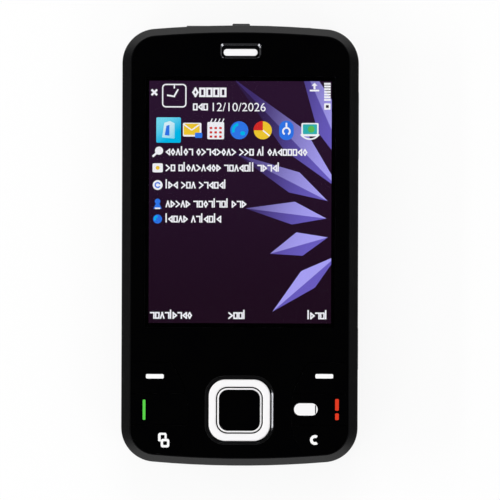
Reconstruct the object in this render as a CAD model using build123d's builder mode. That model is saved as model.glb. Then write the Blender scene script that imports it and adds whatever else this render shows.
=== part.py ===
from build123d import *
import os
from math import sqrt

# A dual-slide phone, lying on its back. The origin is the centre of the plane it lies on,
# +Y points to the end with the earpiece and +Z out of the display. Lengths are millimetres.

os.makedirs("parts", exist_ok=True)

# ---- Overall form -----------------------------------------------------------------------
body_width = 55.0
body_length = 102.4             # over the crowned ends, without the power key
end_arc_radius = 234.0          # the ends are slightly crowned
corner_radius = 8.0
least_corner_radius = 0.8
base_thickness = 10.6           # lower module
module_gap = 0.3                # air between the two modules
slider_thickness = 6.9          # upper module
back_edge_radius = 2.5
seam_chamfer = 0.3              # on the edges that face the gap between the modules
base_wall = 1.4
slider_wall = 1.4
panel_clearance = 0.05          # around a panel that is glued into its seat
moving_clearance = 0.2          # around a piece that moves

end_y = body_length / 2
side_x = body_width / 2
base_top = base_thickness
slider_bottom = base_top + module_gap
slider_top = slider_bottom + slider_thickness

# ---- Slide between the modules ----------------------------------------------------------
open_travel = 33.0              # upwards, bares the number keys
media_travel = 13.0             # downwards, bares the media keys
slide_fit = 0.1                 # running clearance of the guide
plate_flange_thickness = 0.4
plate_flange_width = 38.0
plate_foot_width = 14.0
plate_set_back = 8.2            # of the slide plate inside the part of the base always covered
guide_lip_thickness = 0.4       # the lips of the slider back that hook under the flange
end_stop_clearance = 0.2

# ---- Base: deck, keys, board -------------------------------------------------------------
deck_thickness = 1.8
key_gap = 0.3                   # between neighbouring keys, and half of it around a field
key_thickness = 1.0
key_edge_radius = 0.2
key_travel = 0.3
plunger_radius = 1.4
plunger_length = 0.4
plunger_gap = 0.3               # left between a pressed key's plunger and its board
number_columns = 3
number_rows = 4
number_side_margin = 3.2
number_end_margin = 2.4
number_top_margin = 1.6         # below the slider's edge when it is open
field_corner_radius = 1.5
media_count = 4
media_side_margin = 6.5
media_end_margin = 2.6
media_edge_margin = 1.8         # above the slider's edge when it is moved down
board_thickness = 0.8
board_clearance = 0.4
board_drop = 0.4                # between the deck and the board
dome_sheet_thickness = 0.12
dome_sheet_margin = 1.0
dome_radius = 1.6
dome_height = 0.2

deck_bottom = base_top - deck_thickness
board_top = deck_bottom - board_drop
board_bottom = board_top - board_thickness

# ---- Base: housing, battery, cover -------------------------------------------------------
floor_thickness = 2.4
cover_thickness = 1.0
cover_gap = 0.1
cover_from_stand = 5.0          # from the cover's straight edge to the kickstand
cover_rib_width = 1.2
cover_rib_height = 0.7
cover_rib_offset = 1.35         # beside the battery bay's walls
cover_rib_margin = 4.0
battery_thickness = 5.0
battery_edge_radius = 0.6
battery_top_margin = 4.0        # inside the cover's straight edge
battery_low_margin = 16.2       # above the bottom end
battery_side_room = 3.1         # between the bay and the right wall
battery_clearance = 0.25
bay_wall = 0.8
bay_roof = 0.6
grip_length = 16.0              # shallow thumb recess in the cover
grip_width = 6.0
grip_depth = 0.3
grip_from_edge = 8.0
screw_boss_radius = 1.5
screw_radius = 0.6
screw_head_radius = 1.1
screw_head_height = 0.4
screw_side_inset = 3.3
screw_end_inset = 8.7

# ---- Base: camera and kickstand ----------------------------------------------------------
camera_from_end = 20.2
stand_length = 40.0             # across the phone
stand_width = 22.0              # along the phone
stand_thickness = 1.4
stand_bar = 3.8
stand_tip_bar = 4.2
stand_corner_radius = 4.0
stand_pocket_depth = 1.6
stand_opening_radius = 2.2
stand_back_flat = 0.02          # left flat in the middle of the rounded edge at the hinge
stand_pin_radius = 0.35
stand_pin_fit = 0.05
stand_pin_seat = 1.2            # how far the pin reaches into the housing at each end
finger_notch_length = 9.0
finger_notch_depth = 1.6
camera_plate_thickness = 1.2
camera_window_radius = 3.4
camera_barrel_radius = 3.1
camera_barrel_fit = 0.2
camera_pupil_radius = 1.3
camera_cone_radius = 2.5
camera_cone_depth = 1.2
camera_block_side = 9.4
camera_block_height = 4.8
camera_glass_thickness = 0.6
camera_glass_recess = 0.15
camera_plate_radius = 2.0
flash_x = 9.5
flash_side = 2.3
flash_spacing = 3.0
flash_thickness = 0.9
flash_edge_radius = 0.3

# ---- Base: side and end fittings ---------------------------------------------------------
side_fitting_z = 5.4            # height of everything in the side walls
flange_thickness = 0.6
flange_width = 0.5
flange_gap = 0.4                # between a button's flange and the wall it is trapped behind
rocker_from_top = 23.2
rocker_length = 16.0
rocker_height = 2.6
rocker_rise = 0.1
camera_key_from_bottom = 27.2
camera_key_length = 10.0
camera_key_height = 2.8
camera_key_rise = 0.1
power_key_x = 0.1
power_key_length = 4.1
power_key_height = 2.4
power_key_rise = 0.5
button_edge_radius = 0.3
lock_from_side = 17.4
lock_length = 5.0
lock_height = 1.8
lock_rise = 0.2
lock_travel = 1.2
lock_stem_length = 1.8
lock_recess_depth = 0.6
door_from_bottom = 34.2
door_length = 16.0
door_height = 3.4
door_thickness = 1.0
door_edge_flat = 0.02           # left flat in the middle of the rounded edge at the hinge
door_rise = 0.05
door_pin_radius = 0.25
door_pin_length = 0.5
door_pin_fit = 0.05
card_length = 15.0
card_width = 11.0
card_thickness = 0.8
card_slot_clearance = 0.3
card_set_back = 0.3             # behind the door
card_shelf_margin = 1.0
grille_length = 9.0
grille_height = 2.6
grille_thickness = 1.2
grille_from_top = 16.2
grille_from_bottom = 14.7
grille_hole_radius = 0.35
grille_hole_pitch = 1.25
grille_hole_columns = 6
grille_hole_rows = 2
jack_from_side = 13.5
jack_bore_radius = 1.8
jack_nose_radius = 2.4
jack_depth = 14.0
jack_block_width = 6.2
jack_block_height = 5.0
usb_x = 0.0
usb_width = 7.6
usb_height = 2.8
usb_wall = 0.3
usb_depth = 5.4
usb_tongue_width = 4.0
usb_tongue_thickness = 0.5
charger_from_side = 16.5
charger_bore_radius = 1.0
charger_radius = 1.7
charger_depth = 6.5
socket_z = 5.0
socket_set_back = 0.4           # of the sockets' mouths behind the crown of the end
socket_back_wall = 0.8
charger_pin_radius = 0.25
charger_pin_depth = 1.0
microphone_from_side = 18.5
microphone_radius = 0.4

# ---- Slider: frame, window, display -------------------------------------------------------
window_thickness = 1.0
window_side_inset = 2.2
window_end_inset = 1.85
frame_land = 0.25               # flat top of the frame beside the window
bevel_height = 1.75
bevel_edge_radius = 0.25        # where the bevel meets the frame's side
back_shoulder = 1.0             # the slider back's visible edge
back_plate_thickness = 1.8
ledge_width = 1.4
ledge_thickness = 0.9
key_ledge_drop = 0.4
lens_side_margin = 5.4
lens_top_margin = 11.9
lens_from_seam = 8.0
lens_corner_radius = 0.5
module_side_margin = 0.9        # the display module's metal frame outside the lens
module_foot = 4.0               # its connector ledge below the lens
module_thickness = 2.2
rib_width = 2.0
key_board_thickness = 0.6
key_board_drop = 1.2            # below the window's underside
post_radius = 1.2

window_seat = slider_top - window_thickness
frame_bottom = slider_bottom + back_shoulder
back_plate_top = slider_bottom + back_plate_thickness
module_bottom = window_seat - module_thickness
key_board_top = window_seat - key_board_drop
key_board_bottom = key_board_top - key_board_thickness

# ---- Slider: earpiece -----------------------------------------------------------------------
earpiece_from_end = 5.9
earpiece_width = 9.6
earpiece_height = 3.6
earpiece_corner_radius = 1.0
earpiece_flange = 0.7
earpiece_flange_thickness = 0.5
earpiece_set_back = 0.6
earpiece_bar_width = 7.9
earpiece_bar_height = 1.6
earpiece_bar_thickness = 0.4
earpiece_bar_drop = 0.4         # from the middle of the opening, towards the display
earpiece_slot_length = 1.3
earpiece_slot_width = 0.4
earpiece_slot_pitch = 2.1
earpiece_slot_spread = 2.8
earpiece_slot_count = 4

# ---- Slider: main keys ----------------------------------------------------------------------
main_key_gap = 0.16
main_key_thickness = 0.9
main_key_edge_radius = 0.04
key_field_height = 24.1         # from the bottom end to the seam above the soft keys
key_row_height = 7.35
zone_top_x = 16.0               # the key zones' inner edges bulge towards the pad
zone_waist_x = 11.8
zone_foot_x = 16.6
nav_from_end = 12.9
nav_moat = 0.75                 # dark channel between the ring and the window
nav_recess_radius = 4.5
nav_recess_chamfer = 0.1
nav_ring_side = 14.3
nav_ring_radius = 3.9
nav_ring_inner = 10.9
nav_ring_inner_radius = 2.7
nav_ring_rise = 0.2
nav_ring_edge_radius = 0.35
select_gap = 0.3                # between the select key and the ring
select_radius = 2.4
select_cap_side = 9.5
select_cap_radius = 2.1
select_cap_depth = 0.5
select_rise = 0.1
select_thickness = 0.9
select_rim_chamfer = 0.25
gimbal_side = 12.4
gimbal_inner = 9.2
gimbal_thickness = 0.4
trunnion_radius = 0.3
trunnion_fit = 0.02
multimedia_x = 15.45
multimedia_lift = 0.25          # from the middle of the pad, towards the display
multimedia_width = 5.5
multimedia_height = 2.85
multimedia_corner_radius = 1.4
multimedia_rise = 0.1

seam_y = -end_y + key_field_height
nav_y = -end_y + nav_from_end
multimedia_y = nav_y + multimedia_lift
nav_recess = nav_ring_side + 2 * nav_moat
select_side = nav_ring_inner - 2 * select_gap
main_key_bottom = slider_top - main_key_thickness
earpiece_y = end_y - earpiece_from_end
lens_high_y = end_y - lens_top_margin
lens_low_y = seam_y + lens_from_seam
lens_length = lens_high_y - lens_low_y
lens_width = body_width - 2 * lens_side_margin
display_y = (lens_high_y + lens_low_y) / 2

# ---- Places in the base, counted from its sides and ends ----------------------------------
camera_y = end_y - camera_from_end
cover_end_y = camera_y - stand_width / 2 - cover_from_stand
rocker_y = end_y - rocker_from_top
camera_key_y = -end_y + camera_key_from_bottom
door_y = -end_y + door_from_bottom
grille_high_y = end_y - grille_from_top
grille_low_y = -end_y + grille_from_bottom
lock_x = -side_x + lock_from_side
jack_x = side_x - jack_from_side
charger_x = side_x - charger_from_side
microphone_x = -side_x + microphone_from_side
screw_x = side_x - screw_side_inset
screw_y = end_y - screw_end_inset
plate_low_y = -end_y + open_travel + plate_set_back
plate_high_y = end_y - media_travel - plate_set_back


# ---- Outlines -------------------------------------------------------------------------------
def phone_outline(side_inset=0.0, end_inset=0.0):
    """The phone's outline, moved in from its sides and from its ends."""
    half_width = side_x - side_inset
    half_length = end_y - end_inset
    crown = end_arc_radius - sqrt(end_arc_radius**2 - half_width**2)
    shoulder = half_length - crown
    radius = max(corner_radius - max(side_inset, end_inset), least_corner_radius)
    with BuildSketch() as sketch:
        with BuildLine():
            ThreePointArc((-half_width, shoulder), (0, half_length), (half_width, shoulder))
            Line((half_width, shoulder), (half_width, -shoulder))
            ThreePointArc((half_width, -shoulder), (0, -half_length), (-half_width, -shoulder))
            Line((-half_width, -shoulder), (-half_width, shoulder))
        make_face()
        fillet(sketch.vertices(), radius)
    return sketch.sketch


def end_face_y(x):
    """Height of the crowned end above the middle of the phone, at x."""
    return end_y - (end_arc_radius - sqrt(end_arc_radius**2 - x**2))


def number_field(inset=0.0):
    """The field of the number keys: the phone's outline with a straight top."""
    field_top = -end_y + open_travel - number_top_margin
    with BuildSketch() as sketch:
        add(phone_outline(number_side_margin + inset, number_end_margin + inset))
        with Locations((0, field_top - inset)):
            Rectangle(
                body_width, body_length, align=(Align.CENTER, Align.MAX), mode=Mode.INTERSECT
            )
        fillet(sketch.vertices().sort_by(Axis.Y)[-2:], field_corner_radius)
    return sketch.sketch


def media_field(inset=0.0):
    """The field of the media keys: the phone's outline with a straight bottom."""
    field_bottom = end_y - media_travel + media_edge_margin
    with BuildSketch() as sketch:
        add(phone_outline(media_side_margin + inset, media_end_margin + inset))
        with Locations((0, field_bottom + inset)):
            Rectangle(
                body_width, body_length, align=(Align.CENTER, Align.MIN), mode=Mode.INTERSECT
            )
        fillet(sketch.vertices().sort_by(Axis.Y)[:2], field_corner_radius)
    return sketch.sketch


def key_zone(side, inset=0.0):
    """One side's zone of the main keys: side is -1 on the left and 1 on the right."""
    top = (side * (zone_top_x + inset), seam_y - inset)
    waist = (side * (zone_waist_x + inset), nav_y)
    foot = (side * (zone_foot_x + inset), -end_y)
    outer_x = side * side_x
    with BuildSketch() as sketch:
        with BuildLine():
            ThreePointArc(top, waist, foot)
            Line(foot, (outer_x, -end_y))
            Line((outer_x, -end_y), (outer_x, seam_y - inset))
            Line((outer_x, seam_y - inset), top)
        make_face()
        add(phone_outline(window_side_inset + inset, window_end_inset + inset), mode=Mode.INTERSECT)
    return sketch.sketch


def side_plane(x):
    """A plane across the phone at x, with y and z as its own axes, facing +X."""
    return Plane.YZ.offset(x)


def end_plane(y):
    """A plane along the phone's width at y, with x and z as its own axes, facing -Y."""
    return Plane.XZ.offset(-y)


# ---- Base: rear housing and battery cover ----------------------------------------------------
# Both are cut from one form, so that the cover continues the housing's rounded back.
with BuildPart() as base_form:
    with BuildSketch():
        add(phone_outline())
    extrude(amount=deck_bottom)
    fillet(base_form.faces().sort_by(Axis.Z)[0].edges(), back_edge_radius)

battery_bottom = cover_thickness + cover_gap
bay_top = battery_bottom + battery_thickness + battery_clearance
rib_low_y = -end_y + cover_rib_margin
rib_high_y = cover_end_y - cover_rib_margin
side_inner_x = side_x - base_wall
end_inner_y = end_y - base_wall

stand_low_x = -stand_length / 2
stand_high_x = stand_length / 2
stand_opening_low_x = stand_low_x + stand_bar
stand_opening_high_x = stand_high_x - stand_tip_bar
stand_opening_length = stand_opening_high_x - stand_opening_low_x
stand_opening_width = stand_width - 2 * stand_bar
stand_opening_x = (stand_opening_low_x + stand_opening_high_x) / 2
stand_axis_x = stand_low_x + stand_thickness / 2
stand_axis_z = stand_thickness / 2
stand_pin_length = stand_width + 2 * stand_pin_seat
camera_plate_bottom = stand_pocket_depth - camera_plate_thickness

door_x = -side_x - door_rise
door_axis_x = door_x + door_thickness / 2
door_axis_y = door_y - door_length / 2 + door_thickness / 2
door_recess_x = door_x + door_thickness + moving_clearance / 2
card_low_x = door_recess_x + card_set_back
card_high_x = card_low_x + card_length
card_bottom = side_fitting_z - card_thickness / 2
bay_low_x = card_high_x + moving_clearance + bay_wall
bay_high_x = side_inner_x - battery_side_room - bay_wall
bay_width = bay_high_x - bay_low_x
battery_x = (bay_high_x + bay_low_x) / 2
battery_width = bay_width - 2 * battery_clearance
battery_high_y = cover_end_y - battery_top_margin
battery_low_y = -end_y + battery_low_margin
battery_length = battery_high_y - battery_low_y
battery_y = (battery_high_y + battery_low_y) / 2
bay_length = battery_length + 2 * battery_clearance
rib_spread = bay_width / 2 + bay_wall + cover_rib_offset

jack_y = end_face_y(jack_x)
jack_block_y = end_face_y(jack_x + jack_block_width / 2) - base_wall - panel_clearance
socket_y = -end_y + socket_set_back
lock_face_y = end_face_y(lock_x)
lock_inner_y = lock_face_y - base_wall
screw_places = [(x, y) for x in (-screw_x, screw_x) for y in (-screw_y, screw_y)]
outside = 1.0                   # how far a cut starts outside the wall it goes through

with BuildPart() as rear_housing:
    add(base_form.part)
    # seat of the cover
    with BuildSketch():
        with Locations((0, cover_end_y + cover_gap)):
            Rectangle(2 * body_width, 2 * body_length, align=(Align.CENTER, Align.MAX))
    extrude(amount=cover_thickness + cover_gap, mode=Mode.SUBTRACT)
    # hollow around the battery bay, then the bay itself
    with BuildSketch(Plane.XY.offset(floor_thickness)):
        add(phone_outline(base_wall, base_wall))
        with Locations((battery_x, battery_y)):
            Rectangle(bay_width + 2 * bay_wall, bay_length + 2 * bay_wall, mode=Mode.SUBTRACT)
    extrude(amount=deck_bottom - floor_thickness, mode=Mode.SUBTRACT)
    with BuildSketch(Plane.XY.offset(bay_top + bay_roof)):
        with Locations((battery_x, battery_y)):
            Rectangle(bay_width + 2 * bay_wall, bay_length + 2 * bay_wall)
    extrude(amount=deck_bottom - bay_top - bay_roof, mode=Mode.SUBTRACT)
    with BuildSketch():
        with Locations((battery_x, battery_y)):
            Rectangle(bay_width, bay_length)
    extrude(amount=bay_top, mode=Mode.SUBTRACT)
    # grooves for the cover's ribs, open at the bottom end
    with BuildSketch(Plane.XY.offset(cover_thickness)):
        for rib_side in (-1, 1):
            with Locations((battery_x + rib_side * rib_spread, rib_high_y + moving_clearance)):
                Rectangle(
                    cover_rib_width + 2 * moving_clearance,
                    body_length,
                    align=(Align.CENTER, Align.MAX),
                )
    extrude(amount=cover_rib_height + moving_clearance, mode=Mode.SUBTRACT)
    # bosses under the board's corners, and the shelf under the memory card
    with BuildSketch(Plane.XY.offset(floor_thickness)):
        with Locations(screw_places):
            Circle(screw_boss_radius)
        add(phone_outline(base_wall, base_wall), mode=Mode.INTERSECT)
    extrude(amount=board_bottom - floor_thickness)
    with BuildSketch(Plane.XY.offset(board_bottom)):
        with Locations(screw_places):
            Circle(screw_radius)
    extrude(amount=floor_thickness - board_bottom, mode=Mode.SUBTRACT)
    with BuildSketch(Plane.XY.offset(floor_thickness)):
        with Locations((-side_inner_x, door_y)):
            Rectangle(
                card_high_x + side_inner_x,
                card_width - 2 * card_shelf_margin,
                align=(Align.MIN, Align.CENTER),
            )
    extrude(amount=card_bottom - floor_thickness)
    # pocket of the kickstand, with a notch for a finger nail, and the camera's hole
    with BuildSketch() as stand_pocket:
        with Locations((0, camera_y)):
            Rectangle(stand_length + 2 * moving_clearance, stand_width + 2 * moving_clearance)
        fillet(stand_pocket.vertices().sort_by(Axis.X)[-2:], stand_corner_radius)
        with Locations((stand_high_x, camera_y)):
            Rectangle(2 * finger_notch_depth, finger_notch_length)
    extrude(amount=stand_pocket_depth, mode=Mode.SUBTRACT)
    with Locations((stand_axis_x, camera_y, stand_axis_z)):
        Cylinder(
            stand_pin_radius, stand_pin_length, rotation=(90, 0, 0), mode=Mode.SUBTRACT
        )
    with BuildSketch():
        with Locations((0, camera_y)):
            Circle(camera_barrel_radius + camera_barrel_fit)
    extrude(amount=floor_thickness, mode=Mode.SUBTRACT)
    # right side: volume rocker and camera key
    with BuildSketch(side_plane(side_inner_x - panel_clearance)):
        with Locations((rocker_y, side_fitting_z)):
            Rectangle(rocker_length + 2 * moving_clearance, rocker_height + 2 * moving_clearance)
        with Locations((camera_key_y, side_fitting_z)):
            Rectangle(
                camera_key_length + 2 * moving_clearance, camera_key_height + 2 * moving_clearance
            )
    extrude(amount=base_wall + outside, mode=Mode.SUBTRACT)
    # left side: card door with its pin holes, card slot and speaker openings
    with BuildSketch(side_plane(-side_x - outside)):
        with Locations((door_y, side_fitting_z)):
            Rectangle(door_length + 2 * moving_clearance, door_height + 2 * moving_clearance)
    extrude(amount=door_recess_x + side_x + outside, mode=Mode.SUBTRACT)
    with Locations((door_axis_x, door_axis_y, side_fitting_z)):
        Cylinder(
            door_pin_radius + door_pin_fit,
            door_height + 2 * door_pin_length + 2 * door_pin_fit,
            mode=Mode.SUBTRACT,
        )
    with BuildSketch(side_plane(door_recess_x - panel_clearance)):
        with Locations((door_y, side_fitting_z)):
            Rectangle(card_width + 2 * card_slot_clearance, card_thickness + card_slot_clearance)
    extrude(amount=base_wall, mode=Mode.SUBTRACT)
    with BuildSketch(side_plane(-side_x - outside)):
        with Locations((grille_high_y, side_fitting_z), (grille_low_y, side_fitting_z)):
            Rectangle(grille_length, grille_height)
    extrude(amount=base_wall + 2 * outside, mode=Mode.SUBTRACT)
    # top end: power key, lock slider and headphone jack
    with BuildSketch(end_plane(end_y + outside)):
        with Locations((power_key_x, side_fitting_z)):
            Rectangle(
                power_key_length + 2 * moving_clearance, power_key_height + 2 * moving_clearance
            )
        with Locations((lock_x + lock_travel / 2, side_fitting_z)):
            Rectangle(lock_stem_length + lock_travel + 2 * moving_clearance, lock_height)
        with Locations((jack_x, socket_z)):
            Circle(jack_nose_radius + panel_clearance)
    extrude(amount=base_wall + 2 * outside, mode=Mode.SUBTRACT)
    with BuildSketch(end_plane(end_y + outside)):
        with Locations((lock_x + lock_travel / 2, side_fitting_z)):
            Rectangle(
                lock_length + lock_travel + 2 * moving_clearance, lock_height + 2 * moving_clearance
            )
    extrude(amount=end_y + outside - lock_face_y + lock_recess_depth, mode=Mode.SUBTRACT)
    # bottom end: data socket, charging socket and microphone
    with BuildSketch(end_plane(-end_inner_y + outside)):
        with Locations((usb_x, socket_z)):
            Rectangle(usb_width + 2 * panel_clearance, usb_height + 2 * panel_clearance)
        with Locations((charger_x, socket_z)):
            Circle(charger_radius + panel_clearance)
        with Locations((microphone_x, socket_z)):
            Circle(microphone_radius)
    extrude(amount=base_wall + 2 * outside, mode=Mode.SUBTRACT)
rear_housing.part.label = "rear_housing"
export_step(rear_housing.part, "parts/rear_housing.step")

with BuildPart() as battery_cover:
    add(base_form.part)
    with Locations((0, cover_end_y, 0)):
        Box(
            2 * body_width,
            2 * body_length,
            cover_thickness,
            align=(Align.CENTER, Align.MAX, Align.MIN),
            mode=Mode.INTERSECT,
        )
    with BuildSketch(Plane.XY.offset(cover_thickness)):
        for rib_side in (-1, 1):
            with Locations((battery_x + rib_side * rib_spread, rib_high_y)):
                Rectangle(
                    cover_rib_width, rib_high_y - rib_low_y, align=(Align.CENTER, Align.MAX)
                )
    extrude(amount=cover_rib_height)
    with BuildSketch():
        with Locations((0, cover_end_y - grip_from_edge)):
            SlotOverall(grip_length, grip_width)
    extrude(amount=grip_depth, mode=Mode.SUBTRACT)
battery_cover.part.label = "battery_cover"
export_step(battery_cover.part, "parts/battery_cover.step")

with BuildPart() as battery:
    with BuildSketch(Plane.XY.offset(battery_bottom)):
        with Locations((battery_x, battery_y)):
            Rectangle(battery_width, battery_length)
    extrude(amount=battery_thickness)
    fillet(battery.edges(), battery_edge_radius)
battery.part.label = "battery"
export_step(battery.part, "parts/battery.step")

# ---- Base: board, dome sheets, screws -----------------------------------------------------
with BuildPart() as main_board:
    with BuildSketch(Plane.XY.offset(board_bottom)):
        add(phone_outline(base_wall + board_clearance, base_wall + board_clearance))
        with Locations(screw_places):
            Circle(screw_radius, mode=Mode.SUBTRACT)
    extrude(amount=board_thickness)
main_board.part.label = "main_board"
export_step(main_board.part, "parts/main_board.step")

with BuildPart() as housing_screws:
    with BuildSketch(Plane.XY.offset(floor_thickness + board_thickness)):
        with Locations(screw_places):
            Circle(screw_radius)
    extrude(amount=board_top - floor_thickness - board_thickness)
    with BuildSketch(Plane.XY.offset(board_top)):
        with Locations(screw_places):
            Circle(screw_head_radius)
    extrude(amount=screw_head_height)
housing_screws.part.label = "housing_screws"
export_step(housing_screws.part, "parts/housing_screws.step")

number_low_y = -end_y + number_end_margin
number_high_y = -end_y + open_travel - number_top_margin
number_pitch_x = (body_width - 2 * number_side_margin) / number_columns
number_pitch_y = (number_high_y - number_low_y) / number_rows
media_low_y = end_y - media_travel + media_edge_margin
media_high_y = end_y - media_end_margin
media_pitch_x = (body_width - 2 * media_side_margin) / media_count
media_center_y = (media_low_y + media_high_y) / 2


def number_center(column, row):
    """Centre of a number key: columns run to the right, rows run downwards."""
    x = (column - (number_columns - 1) / 2) * number_pitch_x
    y = number_high_y - (row + 0.5) * number_pitch_y
    return (x, y)


number_centers = [
    number_center(column, row) for row in range(number_rows) for column in range(number_columns)
]
media_centers = [
    ((place - (media_count - 1) / 2) * media_pitch_x, media_center_y) for place in range(media_count)
]

with BuildPart() as dome_sheets:
    with BuildSketch(Plane.XY.offset(board_top)):
        add(number_field(dome_sheet_margin + screw_boss_radius))
        add(media_field(dome_sheet_margin))
    extrude(amount=dome_sheet_thickness)
    with BuildSketch(Plane.XY.offset(board_top)):
        with Locations(number_centers + media_centers):
            Circle(dome_radius)
    extrude(amount=dome_sheet_thickness + dome_height)
dome_sheets.part.label = "dome_sheets"
export_step(dome_sheets.part, "parts/dome_sheets.step")

# ---- Base: keypad deck and its keys ---------------------------------------------------------
with BuildPart() as keypad_deck:
    with BuildSketch(Plane.XY.offset(deck_bottom)):
        add(phone_outline())
    extrude(amount=deck_thickness)
    chamfer(keypad_deck.faces().sort_by(Axis.Z)[-1].edges(), seam_chamfer)
    with BuildSketch(Plane.XY.offset(deck_bottom)):
        add(number_field())
        add(media_field())
    extrude(amount=deck_thickness, mode=Mode.SUBTRACT)
keypad_deck.part.label = "keypad_deck"
export_step(keypad_deck.part, "parts/keypad_deck.step")


def field_key(field, center, pitch_x, pitch_y):
    """One key of a field: its cell inside the field, with a plunger under it."""
    with BuildPart() as key:
        with BuildSketch(Plane.XY.offset(base_top - key_thickness)):
            with Locations(center):
                Rectangle(pitch_x - key_gap, pitch_y - key_gap)
            add(field, mode=Mode.INTERSECT)
        extrude(amount=key_thickness)
        fillet(key.faces().sort_by(Axis.Z)[-1].edges(), key_edge_radius)
        with BuildSketch(Plane.XY.offset(base_top - key_thickness)):
            with Locations(center):
                Circle(plunger_radius)
        extrude(amount=-plunger_length)
    return key.part


number_names = ["1", "2", "3", "4", "5", "6", "7", "8", "9", "star", "0", "hash"]
number_key_field = number_field(key_gap / 2)
for number_name, center in zip(number_names, number_centers):
    number_key = field_key(number_key_field, center, number_pitch_x, number_pitch_y)
    number_key.label = f"key_{number_name}"
    export_step(number_key, f"parts/key_{number_name}.step")

media_names = ["back", "play", "stop", "next"]
media_key_field = media_field(key_gap / 2)
media_height = media_high_y - media_low_y
for media_name, center in zip(media_names, media_centers):
    media_key = field_key(media_key_field, center, media_pitch_x, media_height + key_gap)
    media_key.label = f"media_key_{media_name}"
    export_step(media_key, f"parts/media_key_{media_name}.step")

# ---- Base: slide plate ----------------------------------------------------------------------
flange_bottom = slider_bottom + guide_lip_thickness + slide_fit
plate_length = plate_high_y - plate_low_y
plate_y = (plate_high_y + plate_low_y) / 2
with BuildPart() as slide_plate:
    with BuildSketch(Plane.XY.offset(base_top)):
        with Locations((0, plate_y)):
            Rectangle(plate_foot_width, plate_length)
    extrude(amount=flange_bottom - base_top)
    with BuildSketch(Plane.XY.offset(flange_bottom)):
        with Locations((0, plate_y)):
            Rectangle(plate_flange_width, plate_length)
    extrude(amount=plate_flange_thickness)
slide_plate.part.label = "slide_plate"
export_step(slide_plate.part, "parts/slide_plate.step")

# ---- Base: camera and kickstand --------------------------------------------------------------
with BuildPart() as camera_module:
    with BuildSketch(Plane.XY.offset(floor_thickness)):
        with Locations((0, camera_y)):
            Rectangle(camera_block_side, camera_block_side)
    extrude(amount=camera_block_height)
    barrel_bottom = (
        camera_plate_bottom + camera_glass_recess + camera_glass_thickness + panel_clearance
    )
    with BuildSketch(Plane.XY.offset(barrel_bottom)):
        with Locations((0, camera_y)):
            Circle(camera_barrel_radius)
    extrude(amount=floor_thickness - barrel_bottom)
    with Locations((0, camera_y, barrel_bottom)):
        Cone(
            camera_cone_radius,
            camera_pupil_radius,
            camera_cone_depth,
            align=(Align.CENTER, Align.CENTER, Align.MIN),
            mode=Mode.SUBTRACT,
        )
camera_module.part.label = "camera_module"
export_step(camera_module.part, "parts/camera_module.step")

flash_places = [(flash_x - flash_spacing / 2, camera_y), (flash_x + flash_spacing / 2, camera_y)]
with BuildPart() as camera_plate:
    with BuildSketch(Plane.XY.offset(camera_plate_bottom)):
        with Locations((stand_opening_x, camera_y)):
            RectangleRounded(
                stand_opening_length - 2 * moving_clearance,
                stand_opening_width - 2 * moving_clearance,
                camera_plate_radius,
            )
        with Locations((0, camera_y)):
            Circle(camera_window_radius, mode=Mode.SUBTRACT)
        with Locations(flash_places):
            Rectangle(
                flash_side + 2 * panel_clearance, flash_side + 2 * panel_clearance, mode=Mode.SUBTRACT
            )
    extrude(amount=camera_plate_thickness)
camera_plate.part.label = "camera_plate"
export_step(camera_plate.part, "parts/camera_plate.step")

with BuildPart() as camera_glass:
    with BuildSketch(Plane.XY.offset(camera_plate_bottom + camera_glass_recess)):
        with Locations((0, camera_y)):
            Circle(camera_window_radius - panel_clearance)
    extrude(amount=camera_glass_thickness)
camera_glass.part.label = "camera_glass"
export_step(camera_glass.part, "parts/camera_glass.step")

with BuildPart() as flash_lamps:
    with BuildSketch(Plane.XY.offset(stand_pocket_depth)):
        with Locations(flash_places):
            Rectangle(flash_side, flash_side)
    extrude(amount=-flash_thickness)
    fillet(flash_lamps.edges().filter_by(Axis.Z, reverse=True).group_by(Axis.Z)[0], flash_edge_radius)
flash_lamps.part.label = "flash_lamps"
export_step(flash_lamps.part, "parts/flash_lamps.step")

with BuildPart() as kickstand:
    with BuildSketch() as stand_frame:
        with Locations((0, camera_y)):
            Rectangle(stand_length, stand_width)
        fillet(stand_frame.vertices().sort_by(Axis.X)[-2:], stand_corner_radius)
        with Locations((stand_opening_x, camera_y)):
            RectangleRounded(
                stand_opening_length, stand_opening_width, stand_opening_radius, mode=Mode.SUBTRACT
            )
    extrude(amount=stand_thickness)
    fillet(
        kickstand.edges().filter_by(Axis.Y).group_by(Axis.X)[0],
        (stand_thickness - stand_back_flat) / 2,
    )
    with Locations((stand_axis_x, camera_y, stand_axis_z)):
        Cylinder(
            stand_pin_radius + stand_pin_fit,
            stand_width + 2 * outside,
            rotation=(90, 0, 0),
            mode=Mode.SUBTRACT,
        )
kickstand.part.label = "kickstand"
export_step(kickstand.part, "parts/kickstand.step")

with BuildPart() as kickstand_pin:
    with Locations((stand_axis_x, camera_y, stand_axis_z)):
        Cylinder(stand_pin_radius, stand_pin_length, rotation=(90, 0, 0))
kickstand_pin.part.label = "kickstand_pin"
export_step(kickstand_pin.part, "parts/kickstand_pin.step")


# ---- Base: side and end fittings ---------------------------------------------------------------
def side_button(center_y, length, height, rise):
    """A button in the right wall, trapped behind it by a flange."""
    flange_x = side_inner_x - flange_gap
    with BuildPart() as button:
        with BuildSketch(side_plane(flange_x)):
            with Locations((center_y, side_fitting_z)):
                Rectangle(length, height)
        extrude(amount=side_x + rise - flange_x)
        fillet(button.edges().filter_by(Axis.X), button_edge_radius)
        fillet(button.faces().sort_by(Axis.X)[-1].edges(), button_edge_radius)
        with BuildSketch(side_plane(flange_x)):
            with Locations((center_y, side_fitting_z)):
                Rectangle(length + 2 * flange_width, height + 2 * flange_width)
        extrude(amount=-flange_thickness)
    return button.part


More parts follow.
